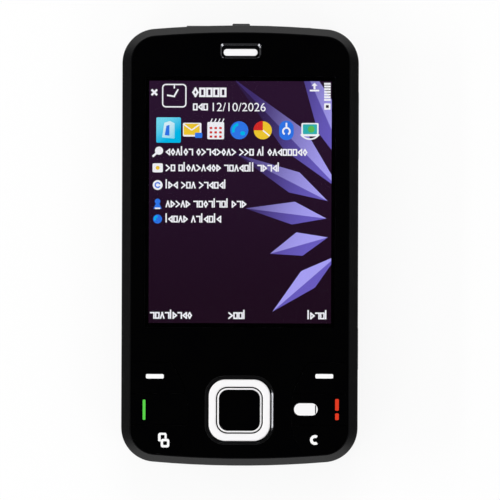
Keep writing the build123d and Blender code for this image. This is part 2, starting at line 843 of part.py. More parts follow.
volume_rocker = side_button(rocker_y, rocker_length, rocker_height, rocker_rise)
volume_rocker.label = "volume_rocker"
export_step(volume_rocker, "parts/volume_rocker.step")

camera_key = side_button(camera_key_y, camera_key_length, camera_key_height, camera_key_rise)
camera_key.label = "camera_key"
export_step(camera_key, "parts/camera_key.step")

with BuildPart() as power_key:
    with BuildSketch(end_plane(end_y + power_key_rise)):
        with Locations((power_key_x, side_fitting_z)):
            Rectangle(power_key_length, power_key_height)
    extrude(amount=power_key_rise + base_wall + flange_gap)
    fillet(power_key.edges().filter_by(Axis.Y), button_edge_radius)
    fillet(power_key.faces().sort_by(Axis.Y)[-1].edges(), button_edge_radius)
    with BuildSketch(end_plane(end_inner_y - flange_gap)):
        with Locations((power_key_x, side_fitting_z)):
            Rectangle(power_key_length + 2 * flange_width, power_key_height + 2 * flange_width)
    extrude(amount=flange_thickness)
power_key.part.label = "power_key"
export_step(power_key.part, "parts/power_key.step")

with BuildPart() as lock_slider:
    thumb_floor_y = lock_face_y - lock_recess_depth + moving_clearance / 2
    with BuildSketch(end_plane(lock_face_y + lock_rise)):
        with Locations((lock_x, side_fitting_z)):
            Rectangle(lock_length, lock_height)
    extrude(amount=lock_face_y + lock_rise - thumb_floor_y)
    fillet(lock_slider.edges().filter_by(Axis.Y), button_edge_radius)
    fillet(lock_slider.faces().sort_by(Axis.Y)[-1].edges(), button_edge_radius / 2)
    with BuildSketch(end_plane(thumb_floor_y)):
        with Locations((lock_x, side_fitting_z)):
            Rectangle(lock_stem_length, lock_height - 2 * moving_clearance)
    extrude(amount=thumb_floor_y - lock_inner_y + flange_gap)
    with BuildSketch(end_plane(lock_inner_y - flange_gap)):
        with Locations((lock_x, side_fitting_z)):
            Rectangle(lock_length, lock_height + 2 * flange_width)
    extrude(amount=flange_thickness)
lock_slider.part.label = "lock_slider"
export_step(lock_slider.part, "parts/lock_slider.step")

with BuildPart() as card_door:
    with BuildSketch(side_plane(door_x)):
        with Locations((door_y, side_fitting_z)):
            Rectangle(door_length, door_height)
    extrude(amount=door_thickness)
    fillet(
        card_door.edges().filter_by(Axis.Z).group_by(Axis.Y)[0],
        (door_thickness - door_edge_flat) / 2,
    )
    with Locations((door_axis_x, door_axis_y, side_fitting_z)):
        Cylinder(door_pin_radius, door_height + 2 * door_pin_length)
card_door.part.label = "card_door"
export_step(card_door.part, "parts/card_door.step")

with BuildPart() as memory_card:
    with BuildSketch(Plane.XY.offset(card_bottom)):
        with Locations((card_low_x, door_y)):
            Rectangle(card_length, card_width, align=(Align.MIN, Align.CENTER))
    extrude(amount=card_thickness)
memory_card.part.label = "memory_card"
export_step(memory_card.part, "parts/memory_card.step")

with BuildPart() as speaker_grilles:
    with BuildSketch(side_plane(-side_x)):
        for grille_y in (grille_low_y, grille_high_y):
            with Locations((grille_y, side_fitting_z)):
                Rectangle(grille_length, grille_height)
                with GridLocations(
                    grille_hole_pitch, grille_hole_pitch, grille_hole_columns, grille_hole_rows
                ):
                    Circle(grille_hole_radius, mode=Mode.SUBTRACT)
    extrude(amount=grille_thickness)
speaker_grilles.part.label = "speaker_grilles"
export_step(speaker_grilles.part, "parts/speaker_grilles.step")

with BuildPart() as headphone_jack:
    with BuildSketch(end_plane(jack_y)):
        with Locations((jack_x, socket_z)):
            Circle(jack_nose_radius)
    extrude(amount=jack_depth)
    with BuildSketch(end_plane(jack_block_y)):
        with Locations((jack_x, socket_z)):
            Rectangle(jack_block_width, jack_block_height)
    extrude(amount=jack_block_y - jack_y + jack_depth + socket_back_wall)
    with BuildSketch(end_plane(jack_y)):
        with Locations((jack_x, socket_z)):
            Circle(jack_bore_radius)
    extrude(amount=jack_depth, mode=Mode.SUBTRACT)
headphone_jack.part.label = "headphone_jack"
export_step(headphone_jack.part, "parts/headphone_jack.step")

with BuildPart() as data_socket:
    with BuildSketch(end_plane(socket_y + usb_depth)):
        with Locations((usb_x, socket_z)):
            Rectangle(usb_width, usb_height)
    extrude(amount=usb_depth)
    with BuildSketch(end_plane(socket_y + usb_depth - socket_back_wall)):
        with Locations((usb_x, socket_z)):
            Rectangle(usb_width - 2 * usb_wall, usb_height - 2 * usb_wall)
    extrude(amount=usb_depth - socket_back_wall, mode=Mode.SUBTRACT)
    with BuildSketch(end_plane(socket_y + usb_depth - socket_back_wall)):
        with Locations((usb_x, socket_z)):
            Rectangle(usb_tongue_width, usb_tongue_thickness)
    extrude(amount=usb_depth - 2 * socket_back_wall)
data_socket.part.label = "data_socket"
export_step(data_socket.part, "parts/data_socket.step")

with BuildPart() as charging_socket:
    with BuildSketch(end_plane(socket_y + charger_depth)):
        with Locations((charger_x, socket_z)):
            Circle(charger_radius)
    extrude(amount=charger_depth)
    with BuildSketch(end_plane(socket_y + charger_depth - socket_back_wall)):
        with Locations((charger_x, socket_z)):
            Circle(charger_bore_radius)
            Circle(charger_pin_radius, mode=Mode.SUBTRACT)
    extrude(amount=charger_depth - socket_back_wall, mode=Mode.SUBTRACT)
    with BuildSketch(end_plane(socket_y)):
        with Locations((charger_x, socket_z)):
            Circle(charger_bore_radius)
    extrude(amount=-charger_pin_depth, mode=Mode.SUBTRACT)
charging_socket.part.label = "charging_socket"
export_step(charging_socket.part, "parts/charging_socket.step")

# ---- Slider: back and frame ----------------------------------------------------------------------
slot_low_y = plate_low_y - open_travel - end_stop_clearance
slot_high_y = plate_high_y + media_travel + end_stop_clearance
slot_length = slot_high_y - slot_low_y
slot_y = (slot_high_y + slot_low_y) / 2
module_width = lens_width + 2 * module_side_margin
module_high_y = display_y + lens_length / 2 + module_side_margin
module_low_y = display_y - lens_length / 2 - module_foot
module_length = module_high_y - module_low_y
module_y = (module_high_y + module_low_y) / 2
ledge_inset = slider_wall + ledge_width
post_x = side_x - ledge_inset - 3 * post_radius
post_places = [
    (x, nav_y + y) for x in (-post_x, post_x) for y in (-key_row_height, key_row_height)
]

with BuildPart() as slider_back:
    with BuildSketch(Plane.XY.offset(slider_bottom)):
        add(phone_outline())
    extrude(amount=back_shoulder)
    chamfer(slider_back.faces().sort_by(Axis.Z)[0].edges(), seam_chamfer)
    with BuildSketch(Plane.XY.offset(frame_bottom)):
        add(phone_outline(slider_wall + panel_clearance, slider_wall + panel_clearance))
    extrude(amount=back_plate_top - frame_bottom)
    with BuildSketch(Plane.XY.offset(back_plate_top)):
        with Locations((-module_width / 2 + rib_width, module_y), (module_width / 2 - rib_width, module_y)):
            Rectangle(rib_width, module_length)
    extrude(amount=module_bottom - back_plate_top)
    with BuildSketch(Plane.XY.offset(back_plate_top)):
        with Locations(post_places):
            Circle(post_radius)
    extrude(amount=key_board_bottom - back_plate_top)
    with BuildSketch(Plane.XY.offset(slider_bottom)):
        with Locations((0, slot_y)):
            Rectangle(plate_foot_width + 2 * slide_fit, slot_length)
    extrude(amount=guide_lip_thickness, mode=Mode.SUBTRACT)
    with BuildSketch(Plane.XY.offset(slider_bottom + guide_lip_thickness)):
        with Locations((0, slot_y)):
            Rectangle(plate_flange_width + 2 * slide_fit, slot_length)
    extrude(amount=plate_flange_thickness + 2 * slide_fit, mode=Mode.SUBTRACT)
slider_back.part.label = "slider_back"
export_step(slider_back.part, "parts/slider_back.step")

ledge_bottom = window_seat - ledge_thickness
with BuildPart() as slider_frame:
    with BuildSketch(Plane.XY.offset(frame_bottom)):
        add(phone_outline())
    extrude(amount=slider_top - bevel_height - frame_bottom)
    with BuildSketch(Plane.XY.offset(slider_top - bevel_height)):
        add(phone_outline())
    with BuildSketch(Plane.XY.offset(slider_top)):
        add(phone_outline(window_side_inset - frame_land, window_end_inset - frame_land))
    loft(ruled=True)
    fillet(
        slider_frame.edges()
        .filter_by(Plane.XY)
        .filter_by_position(
            Axis.Z, slider_top - bevel_height - slide_fit, slider_top - bevel_height + slide_fit
        ),
        bevel_edge_radius,
    )
    with BuildSketch(Plane.XY.offset(frame_bottom)):
        add(phone_outline(slider_wall, slider_wall))
    extrude(amount=ledge_bottom - frame_bottom, mode=Mode.SUBTRACT)
    with BuildSketch(Plane.XY.offset(ledge_bottom)):
        add(phone_outline(ledge_inset, ledge_inset))
    extrude(amount=window_seat - ledge_bottom, mode=Mode.SUBTRACT)
    with BuildSketch(Plane.XY.offset(window_seat)):
        add(phone_outline(window_side_inset, window_end_inset))
    extrude(amount=window_thickness, mode=Mode.SUBTRACT)
    with BuildSketch(Plane.XY.offset(window_seat - key_ledge_drop)):
        add(phone_outline(window_side_inset, window_end_inset))
        with Locations((0, seam_y + main_key_gap)):
            Rectangle(
                body_width, body_length, align=(Align.CENTER, Align.MAX), mode=Mode.INTERSECT
            )
    extrude(amount=key_ledge_drop, mode=Mode.SUBTRACT)
slider_frame.part.label = "slider_frame"
export_step(slider_frame.part, "parts/slider_frame.step")

# ---- Slider: window, display, earpiece ------------------------------------------------------------
with BuildPart() as front_window:
    with BuildSketch(Plane.XY.offset(window_seat)):
        add(
            phone_outline(
                window_side_inset + panel_clearance, window_end_inset + panel_clearance
            )
        )
        add(key_zone(-1), mode=Mode.SUBTRACT)
        add(key_zone(1), mode=Mode.SUBTRACT)
        with Locations((0, nav_y)):
            RectangleRounded(nav_recess, nav_recess, nav_recess_radius, mode=Mode.SUBTRACT)
        with Locations((0, display_y)):
            RectangleRounded(
                lens_width + 2 * panel_clearance,
                lens_length + 2 * panel_clearance,
                lens_corner_radius,
                mode=Mode.SUBTRACT,
            )
        with Locations((0, earpiece_y)):
            RectangleRounded(
                earpiece_width, earpiece_height, earpiece_corner_radius, mode=Mode.SUBTRACT
            )
    extrude(amount=window_thickness)
    window_top_edges = front_window.faces().sort_by(Axis.Z)[-1].edges()
    chamfer(
        window_top_edges.filter_by_position(
            Axis.X, -nav_recess / 2 - slide_fit, nav_recess / 2 + slide_fit
        ).filter_by_position(
            Axis.Y, nav_y - nav_recess / 2 - slide_fit, nav_y + nav_recess / 2 + slide_fit
        ),
        nav_recess_chamfer,
    )
front_window.part.label = "front_window"
export_step(front_window.part, "parts/front_window.step")

with BuildPart() as display_lens:
    with BuildSketch(Plane.XY.offset(window_seat)):
        with Locations((0, display_y)):
            RectangleRounded(lens_width, lens_length, lens_corner_radius)
    extrude(amount=window_thickness)
display_lens.part.label = "display_lens"
export_step(display_lens.part, "parts/display_lens.step")

with BuildPart() as display_module:
    with BuildSketch(Plane.XY.offset(module_bottom)):
        with Locations((0, module_y)):
            Rectangle(module_width, module_length)
    extrude(amount=module_thickness)
display_module.part.label = "display_module"
export_step(display_module.part, "parts/display_module.step")

insert_top = slider_top - earpiece_set_back
with BuildPart() as earpiece_grille:
    with BuildSketch(Plane.XY.offset(window_seat - earpiece_flange_thickness)):
        with Locations((0, earpiece_y)):
            RectangleRounded(
                earpiece_width + 2 * earpiece_flange,
                earpiece_height + 2 * earpiece_flange,
                earpiece_corner_radius,
            )
    extrude(amount=earpiece_flange_thickness)
    with BuildSketch(Plane.XY.offset(window_seat)):
        with Locations((0, earpiece_y)):
            RectangleRounded(
                earpiece_width - 2 * panel_clearance,
                earpiece_height - 2 * panel_clearance,
                earpiece_corner_radius,
            )
    extrude(amount=insert_top - window_seat)
    with BuildSketch(Plane.XY.offset(window_seat - earpiece_flange_thickness)):
        with Locations((0, earpiece_y)):
            with GridLocations(earpiece_slot_pitch, earpiece_slot_spread, earpiece_slot_count, 2):
                Rectangle(earpiece_slot_length, earpiece_slot_width)
    extrude(amount=insert_top - window_seat + earpiece_flange_thickness, mode=Mode.SUBTRACT)
earpiece_grille.part.label = "earpiece_grille"
export_step(earpiece_grille.part, "parts/earpiece_grille.step")

with BuildPart() as earpiece_bar:
    with BuildSketch(Plane.XY.offset(insert_top)):
        with Locations((0, earpiece_y - earpiece_bar_drop)):
            RectangleRounded(
                earpiece_bar_width, earpiece_bar_height, earpiece_bar_height / 2 - panel_clearance
            )
    extrude(amount=earpiece_bar_thickness)
    fillet(earpiece_bar.faces().sort_by(Axis.Z)[-1].edges(), earpiece_bar_thickness / 2)
earpiece_bar.part.label = "earpiece_bar"
export_step(earpiece_bar.part, "parts/earpiece_bar.step")

# ---- Slider: key board and navigation pad ------------------------------------------------------------
gimbal_bottom = key_board_top + trunnion_radius + trunnion_fit
gimbal_top = gimbal_bottom + gimbal_thickness
ring_bottom = gimbal_top + trunnion_radius + trunnion_fit
ring_top = slider_top + nav_ring_rise
select_top = slider_top + select_rise
select_bottom = select_top - select_thickness
main_plunger_bottom = key_board_top + key_travel + plunger_gap
board_trunnion_length = (gimbal_side - gimbal_inner) / 2
board_trunnion_x = (gimbal_side + gimbal_inner) / 4
ring_trunnion_length = (gimbal_side - nav_ring_inner) / 2
ring_trunnion_y = (gimbal_side + nav_ring_inner) / 4

with BuildPart() as key_board:
    with BuildSketch(Plane.XY.offset(key_board_bottom)):
        add(phone_outline(ledge_inset + moving_clearance, ledge_inset + moving_clearance))
        with Locations((0, seam_y)):
            Rectangle(
                body_width, body_length, align=(Align.CENTER, Align.MAX), mode=Mode.INTERSECT
            )
    extrude(amount=key_board_thickness)
    # two half-round bumps, across the phone, on which the gimbal rocks
    with BuildSketch(side_plane(-board_trunnion_length / 2)):
        with Locations((nav_y, key_board_top)):
            Circle(trunnion_radius)
            Rectangle(
                2 * trunnion_radius,
                2 * trunnion_radius,
                align=(Align.CENTER, Align.MAX),
                mode=Mode.SUBTRACT,
            )
    bump = extrude(amount=board_trunnion_length, mode=Mode.PRIVATE)
    with Locations((-board_trunnion_x, 0), (board_trunnion_x, 0)):
        add(bump)
key_board.part.label = "key_board"
export_step(key_board.part, "parts/key_board.step")

with BuildPart() as nav_gimbal:
    with BuildSketch(Plane.XY.offset(gimbal_bottom)):
        with Locations((0, nav_y)):
            Rectangle(gimbal_side, gimbal_side)
            Rectangle(gimbal_inner, gimbal_inner, mode=Mode.SUBTRACT)
    extrude(amount=gimbal_thickness)
    # two half-round bumps, along the phone, on which the ring rocks
    with BuildSketch(end_plane(ring_trunnion_length / 2)):
        with Locations((0, gimbal_top)):
            Circle(trunnion_radius)
            Rectangle(
                2 * trunnion_radius,
                2 * trunnion_radius,
                align=(Align.CENTER, Align.MAX),
                mode=Mode.SUBTRACT,
            )
    bump = extrude(amount=ring_trunnion_length, mode=Mode.PRIVATE)
    with Locations((0, nav_y - ring_trunnion_y), (0, nav_y + ring_trunnion_y)):
        add(bump)
nav_gimbal.part.label = "nav_gimbal"
export_step(nav_gimbal.part, "parts/nav_gimbal.step")

with BuildPart() as nav_ring:
    with BuildSketch(Plane.XY.offset(ring_bottom)):
        with Locations((0, nav_y)):
            RectangleRounded(nav_ring_side, nav_ring_side, nav_ring_radius)
            RectangleRounded(
                nav_ring_inner, nav_ring_inner, nav_ring_inner_radius, mode=Mode.SUBTRACT
            )
    extrude(amount=ring_top - ring_bottom)
    fillet(nav_ring.faces().sort_by(Axis.Z)[-1].edges(), nav_ring_edge_radius)
nav_ring.part.label = "nav_ring"
export_step(nav_ring.part, "parts/nav_ring.step")

with BuildPart() as select_key:
    with BuildSketch(Plane.XY.offset(select_bottom)):
        with Locations((0, nav_y)):
            RectangleRounded(select_side, select_side, select_radius)
    extrude(amount=select_thickness)
    chamfer(select_key.faces().sort_by(Axis.Z)[-1].edges(), select_rim_chamfer)
    with BuildSketch(Plane.XY.offset(select_top)):
        with Locations((0, nav_y)):
            RectangleRounded(
                select_cap_side + 2 * panel_clearance,
                select_cap_side + 2 * panel_clearance,
                select_cap_radius,
            )
    extrude(amount=-select_cap_depth, mode=Mode.SUBTRACT)
    with BuildSketch(Plane.XY.offset(select_bottom)):
        with Locations((0, nav_y)):
            Circle(plunger_radius)
    extrude(amount=main_plunger_bottom - select_bottom)
select_key.part.label = "select_key"
export_step(select_key.part, "parts/select_key.step")

with BuildPart() as select_cap:
    with BuildSketch(Plane.XY.offset(select_top - select_cap_depth)):
        with Locations((0, nav_y)):
            RectangleRounded(select_cap_side, select_cap_side, select_cap_radius)
    extrude(amount=select_cap_depth)
    fillet(select_cap.faces().sort_by(Axis.Z)[-1].edges(), main_key_edge_radius)
select_cap.part.label = "select_cap"
export_step(select_cap.part, "parts/select_cap.step")


# ---- Slider: main keys -----------------------------------------------------------------------------
def main_key(side, row, plunger_x, hole=None):
    """A key beside the navigation pad; row 0 is under the display, row 2 at the end."""
    top_y = seam_y - row * key_row_height - main_key_gap / 2
    bottom_y = -end_y if row == 2 else seam_y - (row + 1) * key_row_height + main_key_gap / 2
    with BuildPart() as key:
        with BuildSketch(Plane.XY.offset(main_key_bottom)):
            add(key_zone(side, main_key_gap))
            with Locations((0, top_y)):
                Rectangle(
                    body_width,
                    top_y - bottom_y,
                    align=(Align.CENTER, Align.MAX),
                    mode=Mode.INTERSECT,
                )
            if hole:
                add(hole, mode=Mode.SUBTRACT)
        extrude(amount=main_key_thickness)
        fillet(key.faces().sort_by(Axis.Z)[-1].edges(), main_key_edge_radius)
        with BuildSketch(Plane.XY.offset(main_key_bottom)):
            with Locations((plunger_x, seam_y - (row + 0.5) * key_row_height)):
                Circle(plunger_radius)
        extrude(amount=main_plunger_bottom - main_key_bottom)
    return key.part


def multimedia_outline(margin=0.0):
    """The multimedia key's rounded outline, grown by margin."""
    with BuildSketch() as sketch:
        with Locations((multimedia_x, multimedia_y)):
            RectangleRounded(
                multimedia_width + 2 * margin,
                multimedia_height + 2 * margin,
                multimedia_corner_radius,
            )
    return sketch.sketch


inner_plunger_x = (zone_top_x + side_x - window_side_inset) / 2
main_keys = {
    "left_soft_key": (-1, 0, -inner_plunger_x),
    "right_soft_key": (1, 0, inner_plunger_x),
    "call_key": (-1, 1, -inner_plunger_x),
    "menu_key": (-1, 2, -inner_plunger_x),
    "clear_key": (1, 2, inner_plunger_x),
}
for main_name, (side, row, plunger_x) in main_keys.items():
    key = main_key(side, row, plunger_x)
    key.label = main_name
    export_step(key, f"parts/{main_name}.step")

end_key = main_key(1, 1, inner_plunger_x + plunger_radius, multimedia_outline(main_key_gap))
end_key.label = "end_key"
export_step(end_key, "parts/end_key.step")

with BuildPart() as multimedia_key:
    with BuildSketch(Plane.XY.offset(main_key_bottom)):
        add(multimedia_outline())
    extrude(amount=main_key_thickness + multimedia_rise)
    fillet(multimedia_key.faces().sort_by(Axis.Z)[-1].edges(), main_key_edge_radius)
    with BuildSketch(Plane.XY.offset(main_key_bottom)):
        with Locations((multimedia_x, multimedia_y)):
            Circle(plunger_radius)
    extrude(amount=main_plunger_bottom - main_key_bottom)
multimedia_key.part.label = "multimedia_key"
export_step(multimedia_key.part, "parts/multimedia_key.step")
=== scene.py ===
# %% [markdown]
# # A dual-slide phone, dressed
# The solids of the phone come ready from the packed model: two flat modules, one sliding on the
# other, with keys, a display and small doors and buttons. This notebook gives every solid its
# real finish and adds what is too thin for the solids: the printed marks on the keys, the
# picture on the display, the lens that covers it and a few optical and electrical details.
# Lengths are written in millimetres and multiplied by `mm`, because Blender counts in metres.

import math

import bmesh
import bpy
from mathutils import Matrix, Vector


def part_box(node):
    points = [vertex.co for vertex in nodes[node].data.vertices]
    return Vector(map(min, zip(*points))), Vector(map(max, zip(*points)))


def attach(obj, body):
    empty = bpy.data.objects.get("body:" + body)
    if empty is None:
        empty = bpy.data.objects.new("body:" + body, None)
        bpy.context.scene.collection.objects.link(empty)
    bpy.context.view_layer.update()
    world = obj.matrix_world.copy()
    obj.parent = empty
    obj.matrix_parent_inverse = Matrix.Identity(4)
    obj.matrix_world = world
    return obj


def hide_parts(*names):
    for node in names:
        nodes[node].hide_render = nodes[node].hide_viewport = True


mm = 0.001
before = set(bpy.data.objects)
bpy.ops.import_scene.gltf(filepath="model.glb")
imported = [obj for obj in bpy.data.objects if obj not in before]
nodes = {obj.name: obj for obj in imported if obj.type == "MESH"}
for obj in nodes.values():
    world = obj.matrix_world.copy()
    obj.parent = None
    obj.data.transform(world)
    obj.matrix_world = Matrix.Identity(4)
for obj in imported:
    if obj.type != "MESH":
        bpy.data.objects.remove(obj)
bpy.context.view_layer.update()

# %% [markdown]
# ## Shader maths as Python
# A node tree is easier to read as a formula. `Value` wraps one output socket, so that
# `0.3 + 0.1 * grain` adds the Math nodes by itself. Everything else comes from one method,
# `node`, which sets a node's own settings first and then fills or links its sockets.


# %% Arithmetic on sockets
def sign_method(operation, swapped=False):
    """What Python calls for +, - or *. It is swapped where the socket stands on the right."""
    def act(self, other):
        first, second = (other, self) if swapped else (self, other)
        return self.tree.node("Math", {"operation": operation}, {0: first, 1: second})

    return act


class Value:
    """An output socket that can be used in arithmetic."""

    def __init__(self, tree, socket):
        self.tree = tree
        self.socket = socket

    __add__, __radd__ = sign_method("ADD"), sign_method("ADD", True)
    __sub__, __rsub__ = sign_method("SUBTRACT"), sign_method("SUBTRACT", True)
    __mul__, __rmul__ = sign_method("MULTIPLY"), sign_method("MULTIPLY", True)


print("signs on sockets: + - *")

# %% [markdown]
# `Tree` holds one material or the world. Its short methods are the few building blocks that
# nearly every finish shares: a place on the piece, soft noise, a blend of two colours and a
# relief. All noise is laid out in the piece's own space, so that it stays put when a part moves.


# %% Building blocks of a finish
class Tree:
    """A node tree of a material or of the world."""

    def __init__(self, owner):
        owner.use_nodes = True
        self.owner = owner
        self.nodes = owner.node_tree.nodes
        self.links = owner.node_tree.links
        self.nodes.clear()

    def node(self, kind, settings=None, sockets=None, output=0):
        made = self.nodes.new("ShaderNode" + kind)
        for key, value in (settings or {}).items():
            setattr(made, key, value)
        for key, value in (sockets or {}).items():
            if isinstance(value, Value):
                self.links.new(value.socket, made.inputs[key])
            else:
                made.inputs[key].default_value = value
        return Value(self, made.outputs[output]) if made.outputs else None

    def place(self, stretch=(1.0, 1.0, 1.0)):
        """Position on the piece, squeezed along an axis where stretch is large."""
        here = self.node("TexCoord", output="Object")
        return self.node("Mapping", None, {"Vector": here, "Scale": stretch})

    def noise(self, size, detail=2.0, stretch=(1.0, 1.0, 1.0)):
        """Soft random patches of about this size, in millimetres, from 0 to 1."""
        sockets = {"Vector": self.place(stretch), "Scale": 1 / (size * mm), "Detail": detail}
        return self.node("TexNoise", None, sockets)

    def blend(self, amount, first, second):
        """One colour going over into another."""
        sockets = {0: amount, 6: first, 7: second}
        return self.node("Mix", {"data_type": "RGBA"}, sockets, 2)

    def ray(self, kind):
        """1 for the rays of this kind and 0 for all others."""
        return self.node("LightPath", output=f"Is {kind} Ray")

    def bump(self, height, depth):
        """Relief of the given depth in millimetres."""
        sockets = {"Height": height, "Distance": depth * mm}
        return self.node("Bump", None, sockets)

    def surface(self, sockets):
        """The finished surface, into the material's output."""
        shader = self.node("BsdfPrincipled", None, sockets)
        self.node("OutputMaterial", None, {"Surface": shader})
        return self.owner


def material(name):
    return Tree(bpy.data.materials.new(name))


print("building blocks:", [name for name in vars(Tree) if name[0] != "_"])

# %% [markdown]
# Colours are chosen as they look on a screen, from 0 to 255, but light adds up in linear
# numbers. This helper makes the step from one to the other.


# %% Screen colours as linear numbers
def rgb(red, green, blue):
    """A colour from its 0 to 255 screen values, as the linear numbers that a shader wants."""
    linear = []
    for part in (red, green, blue):
        share = part / 255
        low = share / 12.92
        high = ((share + 0.055) / 1.055) ** 2.4
        linear.append(low if share <= 0.04045 else high)
    return (*linear, 1.0)


print("white is", rgb(255, 255, 255))

# %% [markdown]
# ## Room, light and camera
# A phone like this is mostly black gloss, so what it mirrors decides how it looks. Mirrors see
# grey walls between a darker skirting and a nearly black ceiling, as in a product studio where
# the camera looks down from the dark. The flat front then stays black while bevels pick up
# light. Matt surfaces get an even light, and the backdrop itself is white.

# %% World
ceiling = 0.003  # light seen in a mirror that faces straight up
wall = 0.16  # in one that sees the upper part of the walls
skirting = 0.05  # and in one that sees their dark lower part
room_light = 0.49  # even light on matt surfaces

world = bpy.data.worlds.new("studio_room")
bpy.context.scene.world = world
room = Tree(world)
direction = room.node("TexCoord", output="Generated")
up = room.node("SeparateXYZ", None, {"Vector": direction}, 2)


def fade(low, high, first, last):
    """A number that goes smoothly from first to last as the direction rises."""
    sockets = {"Value": up, 1: low, 2: high, 3: first, 4: last}
    return room.node("MapRange", {"interpolation_type": "SMOOTHSTEP"}, sockets)


mirror_light = fade(0.30, 0.50, skirting, wall) + fade(0.55, 0.90, 0.0, ceiling - wall)
straight = room.ray("Camera")
in_mirror = room.ray("Glossy")
in_glass = room.ray("Transmission")
rest = (1.0 - straight) * (1.0 - in_mirror) * (1.0 - in_glass)
strength = (
    straight + in_glass * fade(0.1, 0.4, 1.0, ceiling)
    + in_mirror * mirror_light + rest * room_light
)
background = room.node("Background", None, {"Color": rgb(255, 255, 255), "Strength": strength})
room.node("OutputWorld", None, {"Surface": background})
print("even light:", room_light)

# %% [markdown]
# Four soft lamps stand around the phone: one behind it, two in front and a long strip on the
# left that draws the bright line along the edge. Large lamps close by give soft shadows.


# %% Lamps
def softbox(name, place, width, height, power, aim=(0.0, 0.0, 0.0)):
    """A rectangular soft lamp that faces the phone."""
    lamp = bpy.data.lights.new(name, "AREA")
    lamp.shape = "RECTANGLE"
    lamp.energy = power
    lamp.size = width
    lamp.size_y = height
    holder = bpy.data.objects.new(name, lamp)
    holder.location = place
    holder.rotation_euler = (Vector(aim) - holder.location).to_track_quat("-Z", "Y").to_euler()
    bpy.context.scene.collection.objects.link(holder)


softbox("far_softbox", (0.0, 0.56, 0.66), 0.42, 0.3, 1.75)
softbox("near_left_softbox", (-0.42, -0.40, 0.66), 0.3, 0.3, 1.05)
softbox("near_right_softbox", (0.42, -0.40, 0.66), 0.3, 0.3, 0.95)
softbox("rim_strip", (-0.75, 0.0, 0.525), 0.58, 0.06, 2.7)
print("lamps: 4")

# %% [markdown]
# The phone lies on white paper. A matt sheet alone looks grey, so part of what the lens sees is
# plain white light, and the rest is real paper that still takes the phone's soft shadow.

# %% Floor
floor_mesh = bpy.data.meshes.new("studio_floor")
reach = 3.0
paper_glow = 0.88  # share of pure white that the lens sees in the paper
paper_mirror = 0.72  # and that polished surfaces see
floor_low = -0.02 * mm
corners = [(-reach, -reach), (reach, -reach), (reach, reach), (-reach, reach)]
floor_mesh.from_pydata([(x, y, floor_low) for x, y in corners], [], [(0, 1, 2, 3)])
floor = bpy.data.objects.new("studio_floor", floor_mesh)
bpy.context.scene.collection.objects.link(floor)
paper = material("floor_paper")
fibre = paper.noise(3.0)
paper_colour = paper.blend(fibre, rgb(248, 248, 248), rgb(251, 251, 251))
paper_shade = paper.node("BsdfDiffuse", None, {"Color": paper_colour})
paper_white = paper.node("Emission", None, {"Color": rgb(255, 255, 255), "Strength": 1.0})
seen_white = (paper.ray("Camera") + paper.ray("Transmission")) * paper_glow
mirrored_white = paper.ray("Glossy") * paper_mirror
mixture = {0: seen_white + mirrored_white, 1: paper_shade, 2: paper_white}
paper_mix = paper.node("MixShader", None, mixture)
paper.node("OutputMaterial", None, {"Surface": paper_mix})
floor_mesh.materials.append(paper.owner)
print("floor at", floor_low)

# %% [markdown]
# The camera looks straight down from five metres with a long lens, so that the sides of the
# phone hardly show. It is turned by a hair, as a phone on a table never lies quite straight.

# %% Camera
camera_distance = 5.0
view_width = 116.25  # of the scene, at the height of the front
view_centre = (2.33, -1.03)
front_z = 17.8
camera_roll = 0.2  # degrees
camera_data = bpy.data.cameras.new("camera")
camera_data.sensor_width = 36.0
camera_data.lens = camera_data.sensor_width * camera_distance / (view_width * mm)
camera_data.clip_start = 0.01
camera = bpy.data.objects.new("camera", camera_data)
camera.location = (view_centre[0] * mm, view_centre[1] * mm, front_z * mm + camera_distance)
camera.rotation_euler = (0.0, 0.0, math.radians(camera_roll))
bpy.context.scene.collection.objects.link(camera)
bpy.context.scene.camera = camera
bpy.context.scene.view_settings.view_transform = "Standard"
print("lens:", round(camera_data.lens), "mm")

# %% [markdown]
# ## Finishes
# Nearly every surface of a phone is moulded or painted plastic. What tells them apart is how
# matt they are, how fine their grain is and how evenly they wear, so one recipe with a few
# numbers covers them: two close colours in soft patches, a roughness that wanders a little, and
# a relief as fine as the real grain.


# %% Recipe for moulded, painted and brushed surfaces
def coat(name, light, dark, roughness, spread, grain, depth, patch=4.0, **more):
    """A surface with two tones, wandering roughness and fine relief."""
    tree = material(name)
    stretch = more.pop("stretch", (1.0, 1.0, 1.0))
    tone = tree.noise(patch, 3.0, stretch)
    sockets = {
        "Base Color": tree.blend(tone, rgb(*light), rgb(*dark)),
        "Roughness": roughness + spread * (tree.noise(patch * 0.6, 4.0, stretch) - 0.5),
        "Normal": tree.bump(tree.noise(grain, 2.0, stretch), depth),
    }
    sockets.update({key.replace("_", " "): value for key, value in more.items()})
    return tree.surface(sockets)


window_gloss = coat("window_gloss", (3, 3, 3), (1, 1, 2), 0.06, 0.05, 2.5, 0.0004, patch=9.0)
frame_paint = coat(
    "frame_paint", (14, 14, 15), (10, 10, 11), 0.17, 0.05, 0.12, 0.0008,
    Specular_IOR_Level=0.42,
)
housing_plastic = coat("housing_plastic", (30, 30, 32), (23, 23, 25), 0.5, 0.1, 0.22, 0.012)
cover_plastic = coat("cover_plastic", (26, 26, 28), (20, 20, 21), 0.58, 0.1, 0.3, 0.02)
deck_plastic = coat("deck_plastic", (16, 16, 18), (11, 11, 13), 0.28, 0.08, 0.2, 0.004)
number_key_plastic = coat("number_key_plastic", (20, 20, 23), (14, 14, 16), 0.2, 0.06, 0.3, 0.002)
media_key_plastic = coat("media_key_plastic", (13, 13, 15), (8, 8, 10), 0.12, 0.05, 0.3, 0.001)
button_plastic = coat("button_plastic", (40, 40, 43), (31, 31, 33), 0.36, 0.08, 0.15, 0.004)
socket_plastic = coat("socket_plastic", (16, 16, 17), (10, 10, 11), 0.45, 0.1, 0.2, 0.006)
